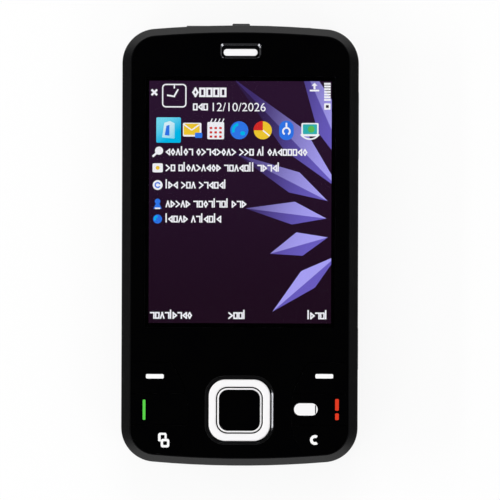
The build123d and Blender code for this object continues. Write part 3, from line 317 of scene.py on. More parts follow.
camera_black = coat("camera_black", (9, 9, 10), (5, 5, 6), 0.5, 0.1, 0.15, 0.004)
plate_black = coat("plate_black", (10, 10, 12), (6, 6, 7), 0.12, 0.06, 1.5, 0.0006)
print("moulded and painted finishes: 11")

# %% [markdown]
# The main keys are polished like the window around them, so that their seams nearly vanish from
# the front. Only the face that points up is glossy: the cut edge round it is matt and catches
# no light. The silver pieces are painted above a certain height and stay dark below it.


# %% Polished keys and silver paint
def polished_top(name, light, dark, roughness, edge):
    """Gloss on the face that points up, and a matt cut edge round it."""
    tree = material(name)
    facing = tree.node("NewGeometry", output="True Normal")
    upward = tree.node("SeparateXYZ", None, {"Vector": facing}, 2)
    polished = tree.node("MapRange", None, {"Value": upward, 1: 0.95, 2: 0.995})
    gloss = tree.node("BsdfPrincipled", None, {
        "Base Color": tree.blend(tree.noise(6.0, 3.0), rgb(*light), rgb(*dark)),
        "Roughness": roughness + 0.05 * (tree.noise(3.6, 4.0) - 0.5),
        "Normal": tree.bump(tree.noise(2.0), 0.0004),
    })
    cut = tree.node("BsdfDiffuse", None, {
        "Color": tree.blend(tree.noise(0.3), rgb(*edge), rgb(*dark)),
    })
    mixed = tree.node("MixShader", None, {0: polished, 1: cut, 2: gloss})
    tree.node("OutputMaterial", None, {"Surface": mixed})
    return tree.owner


main_key_gloss = polished_top("main_key_gloss", (3, 3, 3), (1, 1, 2), 0.07, (6, 6, 6))


def capped(name, light, body, lowest):
    """Bright paint above a height, in millimetres, on a dark moulded body below it."""
    tree = material(name)
    height = tree.node("SeparateXYZ", None, {"Vector": tree.place()}, 2)
    painted = tree.node("MapRange", None, {
        "Value": height, 1: (lowest - 0.03) * mm, 2: (lowest + 0.03) * mm,
    })
    flake = tree.noise(0.09, 3.0)
    bright = tree.blend(flake, rgb(*light), rgb(*[part - 4 for part in light]))
    return tree.surface({
        "Base Color": tree.blend(painted, rgb(*body), bright),
        "Roughness": 0.44 - 0.14 * painted + 0.05 * flake,
        "Normal": tree.bump(flake, 0.0006),
    })


silver_paint = capped("silver_paint", (252, 251, 252), (12, 12, 13), 17.1)
silver_key = capped("silver_key", (252, 251, 252), (12, 12, 13), 17.55)
print("polished and silver finishes: 3")

# %% [markdown]
# Brushed and rolled metal has its grain along one direction. A small `stretch` draws the noise
# out along that axis into hair lines, as on the steel and the kickstand. Other metals are even.

# %% Metals
steel = coat(
    "steel", (196, 197, 200), (170, 171, 175), 0.3, 0.12, 0.35, 0.002,
    patch=2.0, stretch=(1.0, 0.06, 1.0), Metallic=1.0,
)
kickstand_metal = coat(
    "kickstand_metal", (148, 149, 153), (124, 125, 129), 0.33, 0.12, 0.3, 0.002,
    patch=2.0, stretch=(0.05, 1.0, 1.0), Metallic=1.0,
)
grille_metal = coat("grille_metal", (92, 93, 96), (70, 71, 74), 0.36, 0.1, 0.2, 0.002, Metallic=1.0)
socket_metal = coat(
    "socket_metal", (190, 190, 192), (160, 160, 163), 0.28, 0.1, 0.3, 0.001, Metallic=1.0
)
dome_foil = coat("dome_foil", (176, 176, 172), (150, 150, 147), 0.34, 0.1, 0.5, 0.003, Metallic=0.9)
contact_gold = coat(
    "contact_gold", (232, 190, 98), (212, 168, 80), 0.26, 0.08, 0.2, 0.001, Metallic=1.0
)
lens_metal = coat(
    "lens_metal", (150, 151, 154), (132, 133, 137), 0.22, 0.08, 0.1, 0.001, Metallic=1.0
)
print("metals: 7")

# %% [markdown]
# The lens over the display and the glass over the camera are the only surfaces that let light
# through. Faint finger marks make them look real: patches of slightly higher roughness.


# %% Glass, lamp cover and printed ink
def clear(name, tint, roughness):
    """Clear plastic or glass with faint finger marks."""
    tree = material(name)
    marks = tree.noise(6.0, 5.0)
    return tree.surface({
        "Base Color": tree.blend(marks, rgb(*tint), rgb(250, 251, 255)),
        "Roughness": roughness + 0.03 * marks,
        "Transmission Weight": 1.0,
        "IOR": 1.47,
        "Normal": tree.bump(tree.noise(9.0), 0.0004),
    })


lens_glass = clear("lens_glass", (252, 252, 255), 0.01)
camera_glass_finish = clear("camera_glass_finish", (232, 238, 255), 0.0)


def ribbed(name, colour):
    """A moulded lamp cover with fine ribs that spread the light."""
    tree = material(name)
    sockets = {"Vector": tree.place(), "Scale": 1.0 / (2.2 * mm), "Distortion": 0.3}
    wave = tree.node("TexWave", {"bands_direction": "X"}, sockets, 1)
    return tree.surface({
        "Base Color": tree.blend(wave, rgb(*colour), rgb(250, 250, 244)),
        "Roughness": 0.12 + 0.1 * wave,
        "Normal": tree.bump(wave, 0.03),
    })


lamp_diffuser = ribbed("lamp_diffuser", (222, 222, 212))


def ink(name, colour, faded):
    """Printed ink: nearly one colour, slightly uneven, a little raised and matt."""
    return coat(name, colour, faded, 0.55, 0.1, 0.1, 0.001, patch=0.8, Specular_IOR_Level=0.2)


white_ink = ink("white_ink", (254, 254, 254), (249, 249, 249))
green_ink = ink("green_ink", (90, 214, 72), (82, 206, 66))
red_ink = ink("red_ink", (228, 54, 18), (220, 48, 14))
grey_ink = ink("grey_ink", (120, 122, 126), (104, 106, 110))
print("clear parts, lamp cover and inks: 7")

# %% [markdown]
# The printed circuit board is a green varnished sheet with copper tracks under the varnish. A
# brick pattern with thin joints stands for the tracks, because nobody sees the board unless the
# phone is opened.

# %% Board, display panel and battery wrap
pure_black = (0.0, 0.0, 0.0, 1.0)
pure_white = (1.0, 1.0, 1.0, 1.0)
board_tree = material("board_green")
tracks = board_tree.node("TexBrick", {"offset": 0.37, "squash": 0.7}, {
    "Vector": board_tree.place(), "Scale": 1.0 / (3.4 * mm), "Mortar Size": 0.04,
    "Color1": pure_black, "Color2": pure_black, "Mortar": pure_white,
}, 1)
board_green = board_tree.surface({
    "Base Color": board_tree.blend(tracks, rgb(16, 74, 42), rgb(38, 112, 64)),
    "Roughness": 0.3 + 0.15 * board_tree.noise(5.0),
    "Normal": board_tree.bump(tracks, 0.03),
})
border_print = coat(
    "border_print", (3, 3, 3), (1, 1, 2), 0.6, 0.1, 0.4, 0.001, Specular_IOR_Level=0.0
)
board_black = coat("board_black", (8, 9, 9), (5, 6, 6), 0.5, 0.1, 0.4, 0.004)
display_panel = coat(
    "display_panel", (60, 61, 66), (46, 47, 51), 0.3, 0.1, 0.4, 0.002, Metallic=0.8
)
battery_wrap = coat("battery_wrap", (34, 36, 42), (27, 28, 33), 0.38, 0.08, 0.6, 0.003, patch=7.0)
print("board, display and battery finishes: 5")

# %% [markdown]
# ## Dressing the solids
# A solid from the packed model keeps its shape. It only gets its finish, in the material slot
# of its mesh. Solids that are made alike share a finish, so the list goes by finish, and the
# number and media keys follow from their names.

# %% Which solid gets which finish
families = (
    (housing_plastic, "rear_housing"),
    (cover_plastic, "battery_cover"),
    (deck_plastic, "keypad_deck"),
    (steel, "slide_plate housing_screws kickstand_pin"),
    (battery_wrap, "battery"),
    (board_green, "main_board"),
    (board_black, "key_board"),
    (dome_foil, "dome_sheets"),
    (camera_black, "camera_module"),
    (plate_black, "camera_plate earpiece_grille"),
    (camera_glass_finish, "camera_glass"),
    (lamp_diffuser, "flash_lamps"),
    (kickstand_metal, "kickstand"),
    (socket_plastic, "headphone_jack memory_card nav_gimbal"),
    (socket_metal, "data_socket charging_socket"),
    (grille_metal, "speaker_grilles"),
    (button_plastic, "card_door volume_rocker camera_key power_key lock_slider"),
    (frame_paint, "slider_back slider_frame"),
    (window_gloss, "front_window"),
    (display_panel, "display_module"),
    (silver_paint, "earpiece_bar"),
    (silver_key, "nav_ring select_key multimedia_key"),
    (main_key_gloss,
     "select_cap left_soft_key right_soft_key call_key end_key menu_key clear_key"),
    (lens_glass, "display_lens"),
)
finishes = {name: finish for finish, members in families for name in members.split()}
number_keys = [name for name in sorted(nodes) if name[:4] == "key_" and name != "key_board"]
media_keys = [name for name in nodes if name.startswith("media_key")]
finishes.update({name: number_key_plastic for name in number_keys})
finishes.update({name: media_key_plastic for name in media_keys})
for name, node in nodes.items():
    node.data.materials.clear()
    node.data.materials.append(finishes[name])
print("dressed:", len(finishes), "of", len(nodes))

# %% [markdown]
# ## Thin flat pieces
# Printed marks and the shapes of the display picture are all flat, so they begin as outlines:
# lists of points in millimetres. Four kinds draw most of them, and a few are written out.


# %% Outlines
def circle(x, y, radius, steps=28):
    turn = 2 * math.pi / steps
    return [
        (x + radius * math.cos(turn * i), y + radius * math.sin(turn * i)) for i in range(steps)
    ]


def bar(x, y, width, height, radius=None, steps=5):
    """A rectangle with rounded corners, around its centre."""
    radius = min(width, height) * 0.3 if radius is None else radius
    radius = max(radius, 0.001)
    points = []
    for corner in range(4):
        angle = corner * math.pi / 2
        sign_x = 1 if corner in (0, 3) else -1
        sign_y = 1 if corner in (0, 1) else -1
        middle_x = x + sign_x * (width / 2 - radius)
        middle_y = y + sign_y * (height / 2 - radius)
        for i in range(steps + 1):
            turn = angle + math.pi / 2 * i / steps
            points.append((middle_x + radius * math.cos(turn), middle_y + radius * math.sin(turn)))
    return points


def stroke(x0, y0, x1, y1, width):
    """A straight line of some width, from one point to another."""
    length = math.hypot(x1 - x0, y1 - y0)
    side_x = -(y1 - y0) / length * width / 2
    side_y = (x1 - x0) / length * width / 2
    return [
        (x0 + side_x, y0 + side_y), (x0 - side_x, y0 - side_y),
        (x1 - side_x, y1 - side_y), (x1 + side_x, y1 + side_y),
    ]


def arc(x, y, radius, width, start, end, steps=20):
    """Part of a ring, from one angle in degrees to another."""
    turns = [math.radians(start + (end - start) * i / steps) for i in range(steps + 1)]
    outer = radius + width / 2
    inner = radius - width / 2
    points = [(x + outer * math.cos(t), y + outer * math.sin(t)) for t in turns]
    return points + [(x + inner * math.cos(t), y + inner * math.sin(t)) for t in reversed(turns)]


print("points in a rounded bar:", len(bar(0.0, 0.0, 2.0, 1.0)))

# %% [markdown]
# Every added piece is named, rides on one body and takes a finish: `add_object` does that for
# all, and `finished` first makes a mesh of built faces. `join` spans the faces between rings.


# %% From faces to a named piece
def add_object(name, mesh, finish, body):
    """A named piece that rides on a body and takes its finish from a slot."""
    piece = bpy.data.objects.new(name, mesh)
    bpy.context.scene.collection.objects.link(piece)
    mesh.materials.clear()
    mesh.materials.append(finish)
    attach(piece, body)
    return piece


def join(build, first, second):
    """Faces all round between two rings with the same number of points."""
    count = len(first)
    for i in range(count):
        after = (i + 1) % count
        build.faces.new((first[i], first[after], second[after], second[i]))


def finished(name, build, finish, body):
    """The built faces as a named piece."""
    mesh = bpy.data.meshes.new(name)
    build.to_mesh(mesh)
    build.free()
    return add_object(name, mesh, finish, body)


# %% [markdown]
# A sheet is drawn up from its outlines between two heights and closed all round. Printed ink has
# a real thickness, and real sides keep its edge crisp in every view.


# %% Sheets
def upright(x, y, z):
    """The usual way round: outlines lie flat and heights go up."""
    return (x * mm, y * mm, z * mm)


def sheet(name, outlines, low, high, finish, body, slot, place=upright):
    """A thin closed sheet over each outline, between two heights."""
    build = bmesh.new()
    for outline in outlines:
        area = sum(
            a[0] * b[1] - b[0] * a[1] for a, b in zip(outline, outline[1:] + outline[:1])
        )
        points = outline if area > 0 else outline[::-1]
        bottom = [build.verts.new(place(x, y, low)) for x, y in points]
        top = [build.verts.new(place(x, y, high)) for x, y in points]
        build.faces.new(top)
        build.faces.new(bottom[::-1])
        join(build, bottom, top)
    bmesh.ops.recalc_face_normals(build, faces=build.faces)
    return finished(name, build, finish, body)


print("a sheet between 1 and 2 mm starts at", upright(0.0, 0.0, 1.0)[2], "m")

# %% [markdown]
# ## Marks on the main keys
# The keys below the display carry plain marks: a dash on each soft key, a green line for
# taking a call, a broken red one for ending it, two stacked cards for the menu and an open ring for
# clearing. The silver key beside the pad has a thin dark line across its end, which is painted
# shade for the gap at that end. All of these stand about a hundredth of a millimetre proud, and all
# but that line are printed.

# %% Main key marks
ink_thickness = 0.012
key_top = 17.8


def mark(name, outlines, finish, body, top=key_top, slot="main_key_gloss"):
    return sheet(name, outlines, top, top + ink_thickness, finish, body, slot)


mark("left_soft_mark", [bar(-19.7, -30.47, 4.15, 1.03, 0.3)], white_ink, "left_soft_key")
mark("right_soft_mark", [bar(19.7, -30.33, 4.15, 1.03, 0.3)], white_ink, "right_soft_key")
mark("call_mark", [bar(-22.18, -38.25, 0.64, 4.7, 0.2)], green_ink, "call_key")
mark(
    "end_mark", [bar(22.68, -36.96, 0.86, 2.7, 0.2), bar(22.68, -39.73, 0.86, 1.55, 0.2)],
    red_ink, "end_key",
)
menu_x = -17.58
menu_y = -45.3
card_behind = [
    (-0.7, -0.3), (-1.1, -0.3), (-1.31, -0.1), (-1.31, 1.4), (-1.0, 1.7), (0.4, 1.7),
    (0.68, 1.4), (0.68, 0.32), (0.2, 0.32), (0.2, 1.2), (-0.7, 1.2),
]
menu_cards = [
    [(menu_x + x, menu_y + y) for x, y in card_behind],
    bar(menu_x + 0.31, menu_y - 0.7, 2.0, 2.0, 0.5),
    bar(menu_x + 0.31, menu_y - 0.7, 0.9, 0.9, 0.2),
]
mark("menu_mark", menu_cards, white_ink, "menu_key")
mark("clear_mark", [arc(17.57, -45.15, 0.82, 0.66, 55, 305)], white_ink, "clear_key")
# Painted shade: a thin dark sheet across the end of the silver key stands for the shadowed gap
# there.
mark(
    "multimedia_gap_shade", [bar(17.7, -38.05, 0.24, 1.95, 0.1)],
    board_black, "multimedia_key", 17.9, "silver_paint",
)
print("main key marks: 7")

# %% [markdown]
# ## Marks on the number and media keys
# The hidden keypads carry white numbers and the usual signs for back, play, stop and next.
# The numbers are drawn with Blender's own font and turned into meshes.

# %% Number key marks
deck_top = 10.6
number_size = 3.6
number_sink = 0.004  # how far a number reaches down into its key


def middle(name):
    """The middle of a solid, seen from the front, in millimetres."""
    low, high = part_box(name)
    return (low.x + high.x) / 2 / mm, (low.y + high.y) / 2 / mm


def number_piece(name, text, x, y, size, low, high, finish, body, slot):
    """A number as a thin sheet, centred on a place."""
    curve = bpy.data.curves.new(name, "FONT")
    curve.body = text
    curve.size = size * mm
    curve.align_x = "CENTER"
    curve.align_y = "CENTER"
    curve.extrude = (high - low) / 2 * mm
    curve.resolution_u = 4
    drawn = bpy.data.objects.new(name, curve)
    bpy.context.scene.collection.objects.link(drawn)
    bpy.context.view_layer.update()
    mesh = bpy.data.meshes.new_from_object(
        drawn.evaluated_get(bpy.context.evaluated_depsgraph_get())
    )
    bpy.data.objects.remove(drawn)
    places = [(vertex.co.x, vertex.co.y) for vertex in mesh.vertices]
    middle_x, middle_y = [(max(line) + min(line)) / 2 for line in zip(*places)]
    for vertex in mesh.vertices:
        vertex.co.x += x * mm - middle_x
        vertex.co.y += y * mm - middle_y
        vertex.co.z += (low + high) / 2 * mm
    return add_object(name, mesh, finish, body)


for name in number_keys:
    sign = {"star": "*", "hash": "#"}.get(name[4:], name[4:])
    number_piece(
        name + "_mark", sign, *middle(name), number_size, deck_top - number_sink,
        deck_top + ink_thickness, white_ink, name, "number_key_plastic",
    )
print("number marks:", len(number_keys))

# %% [markdown]
# The media keys show the same four signs as any player. Each is a few triangles and bars
# around the middle of its key.


# %% Media key marks
def media_signs(x, y):
    """The four signs, each as outlines around a centre."""
    left = [(x + 0.2, y + 0.9), (x - 1.1, y), (x + 0.2, y - 0.9)]
    right = [(x - 0.2, y - 0.9), (x + 1.1, y), (x - 0.2, y + 0.9)]
    return {
        "media_key_back": [
            left, [(a + 1.2, b) for a, b in left], bar(x - 1.4, y, 0.35, 1.8, 0.05)
        ],
        "media_key_play": [
            [(x - 1.3, y - 0.9), (x, y), (x - 1.3, y + 0.9)],
            bar(x + 0.65, y, 0.4, 1.8, 0.05),
            bar(x + 1.4, y, 0.4, 1.8, 0.05),
        ],
        "media_key_stop": [bar(x, y, 1.7, 1.7, 0.1)],
        "media_key_next": [
            right, [(a - 1.2, b) for a, b in right], bar(x + 1.4, y, 0.35, 1.8, 0.05)
        ],
    }


for name in media_signs(0, 0):
    signs = media_signs(*middle(name))
    mark(name + "_mark", signs[name], white_ink, name, deck_top, "media_key_plastic")
print("media marks:", len(media_keys))

# %% [markdown]
# ## The display
# A small colour display shines by itself, so its picture is made of sheets that give off
# light. They lie in the thin gap between the panel and the lens, one level above the other: the
# dark violet background, a folded fan on it, then a tile, signs and lines of strokes.


# %% Light-giving colours
pixel_pitch = 0.177  # 240 dots across the lit area


def lit(name, colour, other, start=None, end=None):
    """A shining colour with the dot grid of a display. It fades into the other colour from the
    start point to the end point, or in soft patches if there are none."""
    tree = material(name)
    dots = tree.node("TexBrick", {"offset": 0.0}, {
        "Vector": tree.place(), "Scale": 1.0 / (pixel_pitch * mm), "Mortar Size": 0.06,
        "Brick Width": 1.0, "Row Height": 1.0, "Color1": pure_white, "Color2": pure_white,
        "Mortar": (0.84, 0.84, 0.84, 1.0),
    })
    if start is None:
        share = tree.noise(14.0)
    else:
        way = (Vector(end) - Vector(start)) * mm
        along = tree.node(
            "VectorMath", {"operation": "DOT_PRODUCT"},
            {0: tree.place(), 1: (way.x, way.y, 0.0)}, 1,
        )
        first = start[0] * mm * way.x + start[1] * mm * way.y
        share = tree.node(
            "MapRange", {"interpolation_type": "SMOOTHSTEP"},
            {"Value": along, 1: first, 2: first + way.length_squared},
        )
    settings = {"data_type": "RGBA", "blend_type": "MULTIPLY"}
    plain_colour = tree.blend(share, rgb(*colour), rgb(*other))
    shining = tree.node("Mix", settings, {0: 1.0, 6: plain_colour, 7: dots}, 2)
    return tree.surface({
        "Base Color": rgb(4, 4, 5),
        "Roughness": 0.5,
        "Specular IOR Level": 0.0,
        "Emission Color": shining,
        "Emission Strength": 1.0,
    })


print("one dot is", pixel_pitch, "mm wide")

# %% [markdown]
# Eleven colours paint the whole picture. The background, the fan and the first tile fade from
# one point to another. The others vary in soft patches.

# %% The colours of the picture
shades = {
    "background": ((44, 22, 48), (32, 14, 30), (0, 40), (0, -20)),
    "pleat_pale": ((176, 168, 252), (66, 48, 112), (20, 8), (-4, 16)),
    "pleat_deep": ((112, 98, 200), (50, 32, 72), (20, 8), (-2, 14)),
    "white": ((255, 255, 255), (248, 248, 252)),
    "blue": ((34, 96, 226), (60, 140, 246)),
    "cyan": ((120, 226, 246), (0, 190, 238), (-19, 29), (-16, 25)),
    "ice": ((226, 250, 255), (150, 224, 244), (-18, 28), (-15, 25)),
    "teal": ((60, 196, 190), (36, 160, 170)),
    "yellow": ((252, 226, 60), (246, 190, 40)),
    "red": ((226, 50, 44), (208, 40, 40)),
    "green": ((110, 206, 90), (64, 170, 90)),
}
colours = {name: lit("screen_" + name, *shade) for name, shade in shades.items()}
print("display colours:", len(colours))

# %% [markdown]
# Each level lies a little above the one before, so a shape on top hides what is below it.
# `paint` only collects outlines. All it has of one colour and level become one sheet at the end.

# %% Levels of the picture
screen_x = 0.0
screen_y = 10.1
screen_width = 42.4
screen_height = 56.3
left_edge = screen_x - screen_width / 2
right_edge = screen_x + screen_width / 2
low_edge = screen_y - screen_height / 2
high_edge = screen_y + screen_height / 2
picture_low = 16.802
level_step = 0.008
level_thickness = 0.006
picture = {}


def heights(level):
    """Where the sheets of a level begin and end, in millimetres."""
    low = picture_low + level_step * level
    return low, low + level_thickness


def paint(colour, level, *outlines):
    """Keep outlines for the sheet of this colour on this level."""
    picture.setdefault((colour, level), []).extend(outlines)


paint("background", 0, bar(screen_x, screen_y, screen_width, screen_height, 0.01))
print("lit area:", screen_width, "by", screen_height, "mm")

# %% [markdown]
# The wallpaper is a folded fan whose middle lies outside the display. Each leaf is two
# triangles along one fold, a pale one and a deep one, and all are cut off where the lit area
# ends.


# %% The fan
def trim(points):
    """The part of an outline that lies within the lit area."""
    for axis, limit, keep in (
        (0, left_edge, 1), (0, right_edge, -1), (1, low_edge, 1), (1, high_edge, -1)
    ):
        kept = []
        for first, second in zip(points, points[1:] + points[:1]):
            inside = (first[axis] - limit) * keep
            next_inside = (second[axis] - limit) * keep
            if inside >= 0:
                kept.append(first)
            if inside * next_inside < 0:
                share = inside / (inside - next_inside)
                kept.append(tuple(u + (v - u) * share for u, v in zip(first, second)))
        points = kept
    return points


fan_x = 31.0
fan_y = 5.0


def pleat(angle, near, middle, far, spread):
    """A folded leaf of a fan, with one pale side and one deep side."""
    def spot(distance, turn):
        across = math.radians(turn)
        return (fan_x + distance * math.cos(across), fan_y + distance * math.sin(across))

    fold = [spot(near, angle), spot(far, angle)]
    paint("pleat_pale", 1, trim([*fold, spot(middle, angle - spread)]))
    paint("pleat_deep", 1, trim([*fold, spot(middle, angle + spread * 0.8)]))


for leaf in ((114, 12, 25, 46, 9), (134, 11, 27, 47, 8), (153, 12, 21, 36, 8),
             (173, 11, 19, 30, 9), (196, 11, 18, 25, 10), (221, 11, 20, 31, 8)):
    pleat(*leaf)
print("outlines of the fan:", sum(len(o) for o in picture.values()) - 1)

# %% [markdown]
# A menu has lines of words. Here each word is a row of hooks, bars, wedges and diamonds that
# has the size, weight and rhythm of small print and spells nothing, so that the display stays
# free of any language. Only plain numbers are written out.

# %% Made-up words
strokes = (
    ((0, 1), (1, 1), (1, 0)),
    ((0, 0), (0, 1.45)),
    ((0, 0), (0.5, 1), (1, 0)),
    ((0, 0), (0, 1), (1, 0.5), (0, 0)),
    ((0.5, 1), (1, 0.5), (0.5, 0), (0, 0.5), (0.5, 1)),
    ((0, 1), (1, 0.5), (0, 0)),
    ((1, 1), (0, 0.5), (1, 0), (1, 1)),
    ((0, 0), (1, 0), (1, 1), (0, 1), (0, 0)),
)


def words(x, y, lengths, height=1.27, weight=0.31, level=4):
    """A line of made-up words from its left end. Their lengths are in strokes."""
    width = height * 0.6
    turn = int(abs(x * 7 + y * 3))
    for length in lengths:
        for _ in range(length):
            turn = (turn * 5 + 3) % 997
            path = strokes[turn % len(strokes)]
            points = [(x + a * width, y + (b - 0.5) * height) for a, b in path]
            for (x0, y0), (x1, y1) in zip(points, points[1:]):
                grow = weight / 2 / math.hypot(x1 - x0, y1 - y0)
                more_x, more_y = (x1 - x0) * grow, (y1 - y0) * grow
                longer = (x0 - more_x, y0 - more_y, x1 + more_x, y1 + more_y)
                paint("white", level, stroke(*longer, weight))
            x += width + height * 0.32 if path != strokes[1] else height * 0.5
        x += height * 0.5
    return x


row_places = (21.7, 18.0, 14.0, 9.6, 6.1)
row_words = ((6, 8, 3, 2, 8), (2, 9, 7, 5), (3, 3, 6), (5, 8, 3), (5, 7))
for y, lengths in zip(row_places, row_words):
    print("row ends at", round(words(-17.2, y, lengths), 1))
for x, length in ((-20.7, 9), (-2.5, 4), (15.9, 5)):
    words(x, -16.3, (length,), 1.25, 0.34)
words(-11.0, 35.6, (5,), 1.75, 0.46)
words(-10.9, 32.2, (3,), 1.3, 0.32)
number_piece(
    "screen_date", "12/10/2026", -0.3, 32.2, 2.85, *heights(4), colours["white"], "slider",
    "display_panel",
)

# %% [markdown]
# The status line has a small clock, a charge column and a signal arrow. The rim of the clock is
# a flat ring, made by one helper that also serves the lens and the rims further on.


# %% Status line
def skin(name, loops, finish, body, solid=False):
    """A closed surface through outlines at given heights: a ring, or a solid with two ends."""
    build = bmesh.new()
    rings = [[build.verts.new(upright(x, y, z)) for x, y in outline] for outline, z in loops]
    if solid:
        build.faces.new(rings[0][::-1])
        build.faces.new(rings[-1])
    for first, second in zip(rings, rings[1:] + ([] if solid else rings[:1])):
        join(build, first, second)
    bmesh.ops.recalc_face_normals(build, faces=build.faces)
    return finished(name, build, finish, body)


def band(name, outer, inner, low, high, finish, body, slot):
    """A flat ring between two outlines with the same number of points."""
    loops = ((outer, low), (outer, high), (inner, high), (inner, low))
    return skin(name, loops, finish, body)


clock_x = -15.4
clock_y = 34.8
band(
    "screen_clock_face",
    bar(clock_x, clock_y, 5.7, 5.5, 0.9),
    bar(clock_x, clock_y, 5.1, 4.9, 0.6),
    *heights(4), colours["white"], "slider", "display_panel",
)
paint(
    "white", 4,
    stroke(clock_x - 1.7, clock_y + 0.1, clock_x + 0.2, clock_y - 0.2, 0.38),
    stroke(clock_x, clock_y - 0.1, clock_x + 0.9, clock_y + 1.5, 0.38),
    bar(clock_x, clock_y + 2.1, 0.3, 0.9, 0.05),
    stroke(-20.7, 34.9, -19.4, 36.2, 0.5),
    stroke(-20.7, 36.2, -19.4, 34.9, 0.5),
    bar(20.2, 32.4, 1.5, 1.5, 0.2),
    bar(17.2, 36.1, 2.2, 0.4, 0.1),
    bar(17.2, 36.9, 0.45, 1.0, 0.1),
    [(16.5, 37.2), (17.9, 37.2), (17.2, 37.9)],
)
paint("background", 5, bar(20.2, 32.4, 0.65, 0.65, 0.1))
for step in range(7):
    paint("white", 4, bar(20.2, 33.95 + 0.62 * step, 1.5, 0.46, 0.05))
print("status line is ready")

# %% [markdown]
# Seven signs of common things: a page, a letter, a calendar leaf, a ball, a pie chart, a
# bulb-like drop and a picture frame. Each is built up from the largest shape to the smallest.

# %% Seven signs
sign_y = 26.8
sign_x = [-16.7 + 5.48 * i for i in range(7)]
page, letter, leaf, ball, pie, drop, easel = sign_x


def draw(middle_x, colour, level, *outlines):
    """Paint outlines that are given around the middle of a sign."""
    paint(colour, level, *[[(middle_x + x, sign_y + y) for x, y in shape] for shape in outlines])


draw(page, "cyan", 2, bar(0, 0, 5.7, 5.9, 0.3))
draw(page, "ice", 3, [(-1.5, -1.7), (1.4, -2.0), (1.4, 1.6), (0.3, 2.1), (-1.0, 1.7)])
draw(page, "blue", 4, [(-0.9, -1.2), (0.2, -1.3), (0.2, 1.2), (-0.5, 1.0)])
draw(letter, "white", 3, bar(0, 0.1, 4.3, 3.2, 0.3))
draw(letter, "yellow", 4, bar(-0.1, 0.2, 3.7, 2.6, 0.2))
draw(letter, "white", 5, stroke(-1.9, 1.3, -0.1, 0, 0.3), stroke(-0.1, 0, 1.7, 1.3, 0.3))
draw(letter, "blue", 5, bar(1.5, -1.2, 1.7, 1.2, 0.2))
draw(leaf, "white", 3, bar(0, -0.1, 3.9, 4.0, 0.3))
draw(leaf, "red", 4, *[
    bar(1.1 * column, -0.5 + 1.0 * row, 0.6, 0.5, 0.1)
    for column in (-1, 0, 1) for row in (-1, 0, 1)
])
draw(leaf, "white", 3, *[
    stroke(-1.2 + 0.9 * i, 1.8, -0.8 + 0.9 * i, 2.7, 0.25) for i in range(4)
])
draw(ball, "blue", 3, circle(0, 0, 2.1))
draw(ball, "cyan", 4, arc(0, 0, 1.4, 0.6, 100, 200), bar(0.8, -0.7, 1.1, 0.9, 0.4))
draw(pie, "yellow", 3, circle(0, 0, 2.1))
slice_turns = [math.radians(degrees) for degrees in range(100, 185, 10)]
slice_arc = [(2.2 * math.cos(turn), 2.2 * math.sin(turn)) for turn in slice_turns]
draw(pie, "red", 4, [(0, 0), (0, 2.2), *slice_arc])
draw(pie, "white", 4, stroke(0, 0, 1.6, -1.3, 0.3))
draw(drop, "blue", 3, bar(0, 0, 3.4, 4.5, 1.6))
draw(drop, "white", 4, arc(0, -0.2, 0.8, 0.4, -60, 240), bar(0, 1.2, 0.4, 1.2, 0.1))
draw(easel, "white", 3, bar(0, 0.2, 4.0, 3.1, 0.3))
draw(easel, "teal", 4, bar(0, 0.3, 3.3, 2.3, 0.2))
draw(easel, "green", 5, circle(0.3, 0.3, 0.8))
draw(easel, "white", 5, arc(0, 0.6, 2.6, 0.35, 215, 325))
print("signs:", len(sign_x))

# %% [markdown]
# A small sign stands before each line of words. With these the picture is complete, and its
# outlines become sheets.

# %% Small signs, and all sheets of the picture
line_x = -19.2
search, folder, open_ring, person, globe = row_places
paint(
    "white", 3,
    circle(line_x + 0.3, search + 0.3, 0.95), stroke(-20.4, search - 1.1, line_x, search, 0.5),
)
paint("white", 3, bar(line_x, folder, 2.4, 2.1, 0.3))
paint("yellow", 4, circle(line_x, folder, 0.45))
paint("white", 3, circle(line_x, open_ring, 1.15))
paint("blue", 4, arc(line_x, open_ring, 0.55, 0.3, 20, 330))
paint(
    "blue", 3,
    circle(line_x, person + 0.6, 0.65),
    [(line_x - 1.0, person - 1.1), (line_x + 1.0, person - 1.1), (line_x, person + 0.8)],
)
paint("white", 4, bar(line_x, person - 1.0, 1.3, 0.35, 0.1))
paint("blue", 3, circle(line_x, globe, 1.05))
paint("cyan", 4, arc(line_x, globe, 0.6, 0.4, 90, 210))
for (colour, level), outlines in picture.items():
    sheet(
        f"screen_{colour}_{level}", outlines, *heights(level),
        colours[colour], "slider", "display_panel",
    )
print("sheets of the picture:", len(picture))

# %% [markdown]
# ## The lens over the display
# A flat clear sheet, flush with the black window around it. On its underside a black border is
# printed, which hides the edge of the panel. The solid in the packed model fills the whole
# depth, so this lens stands in for it and leaves a gap below for the picture.

# %% Lens and printed border
lens_width = 44.2
lens_height = 58.4
lens_low = 16.862
lens_top = 17.8
lens_corner = 0.5
edge_break = 0.04


def lens_outline(inset):
    return bar(
        screen_x, screen_y, lens_width - 2 * inset, lens_height - 2 * inset, lens_corner - inset
    )


display_glass = skin(
    "display_glass",
    [(lens_outline(0.0), lens_low), (lens_outline(0.0), lens_top - edge_break),
     (lens_outline(edge_break), lens_top)],
    lens_glass, "slider", solid=True,
)
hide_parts("display_lens")
band(
    "display_border",
    bar(screen_x, screen_y, lens_width - 0.04, lens_height - 0.04, lens_corner),
    bar(screen_x, screen_y, screen_width, screen_height, 0.05),
    lens_low - 0.012, lens_low - 0.002, border_print, "slider", "window_gloss",
)
print("lens from", lens_low, "to", lens_top)

# %% [markdown]
# ## Polished rims
# Two openings in the front have a thin polished rim that slopes down into them: the one around
# the navigation ring, in dark chrome, and the one around the earpiece, in brighter chrome. Both
# mirror the room, so that one side of a rim can shine while the next stays dark.


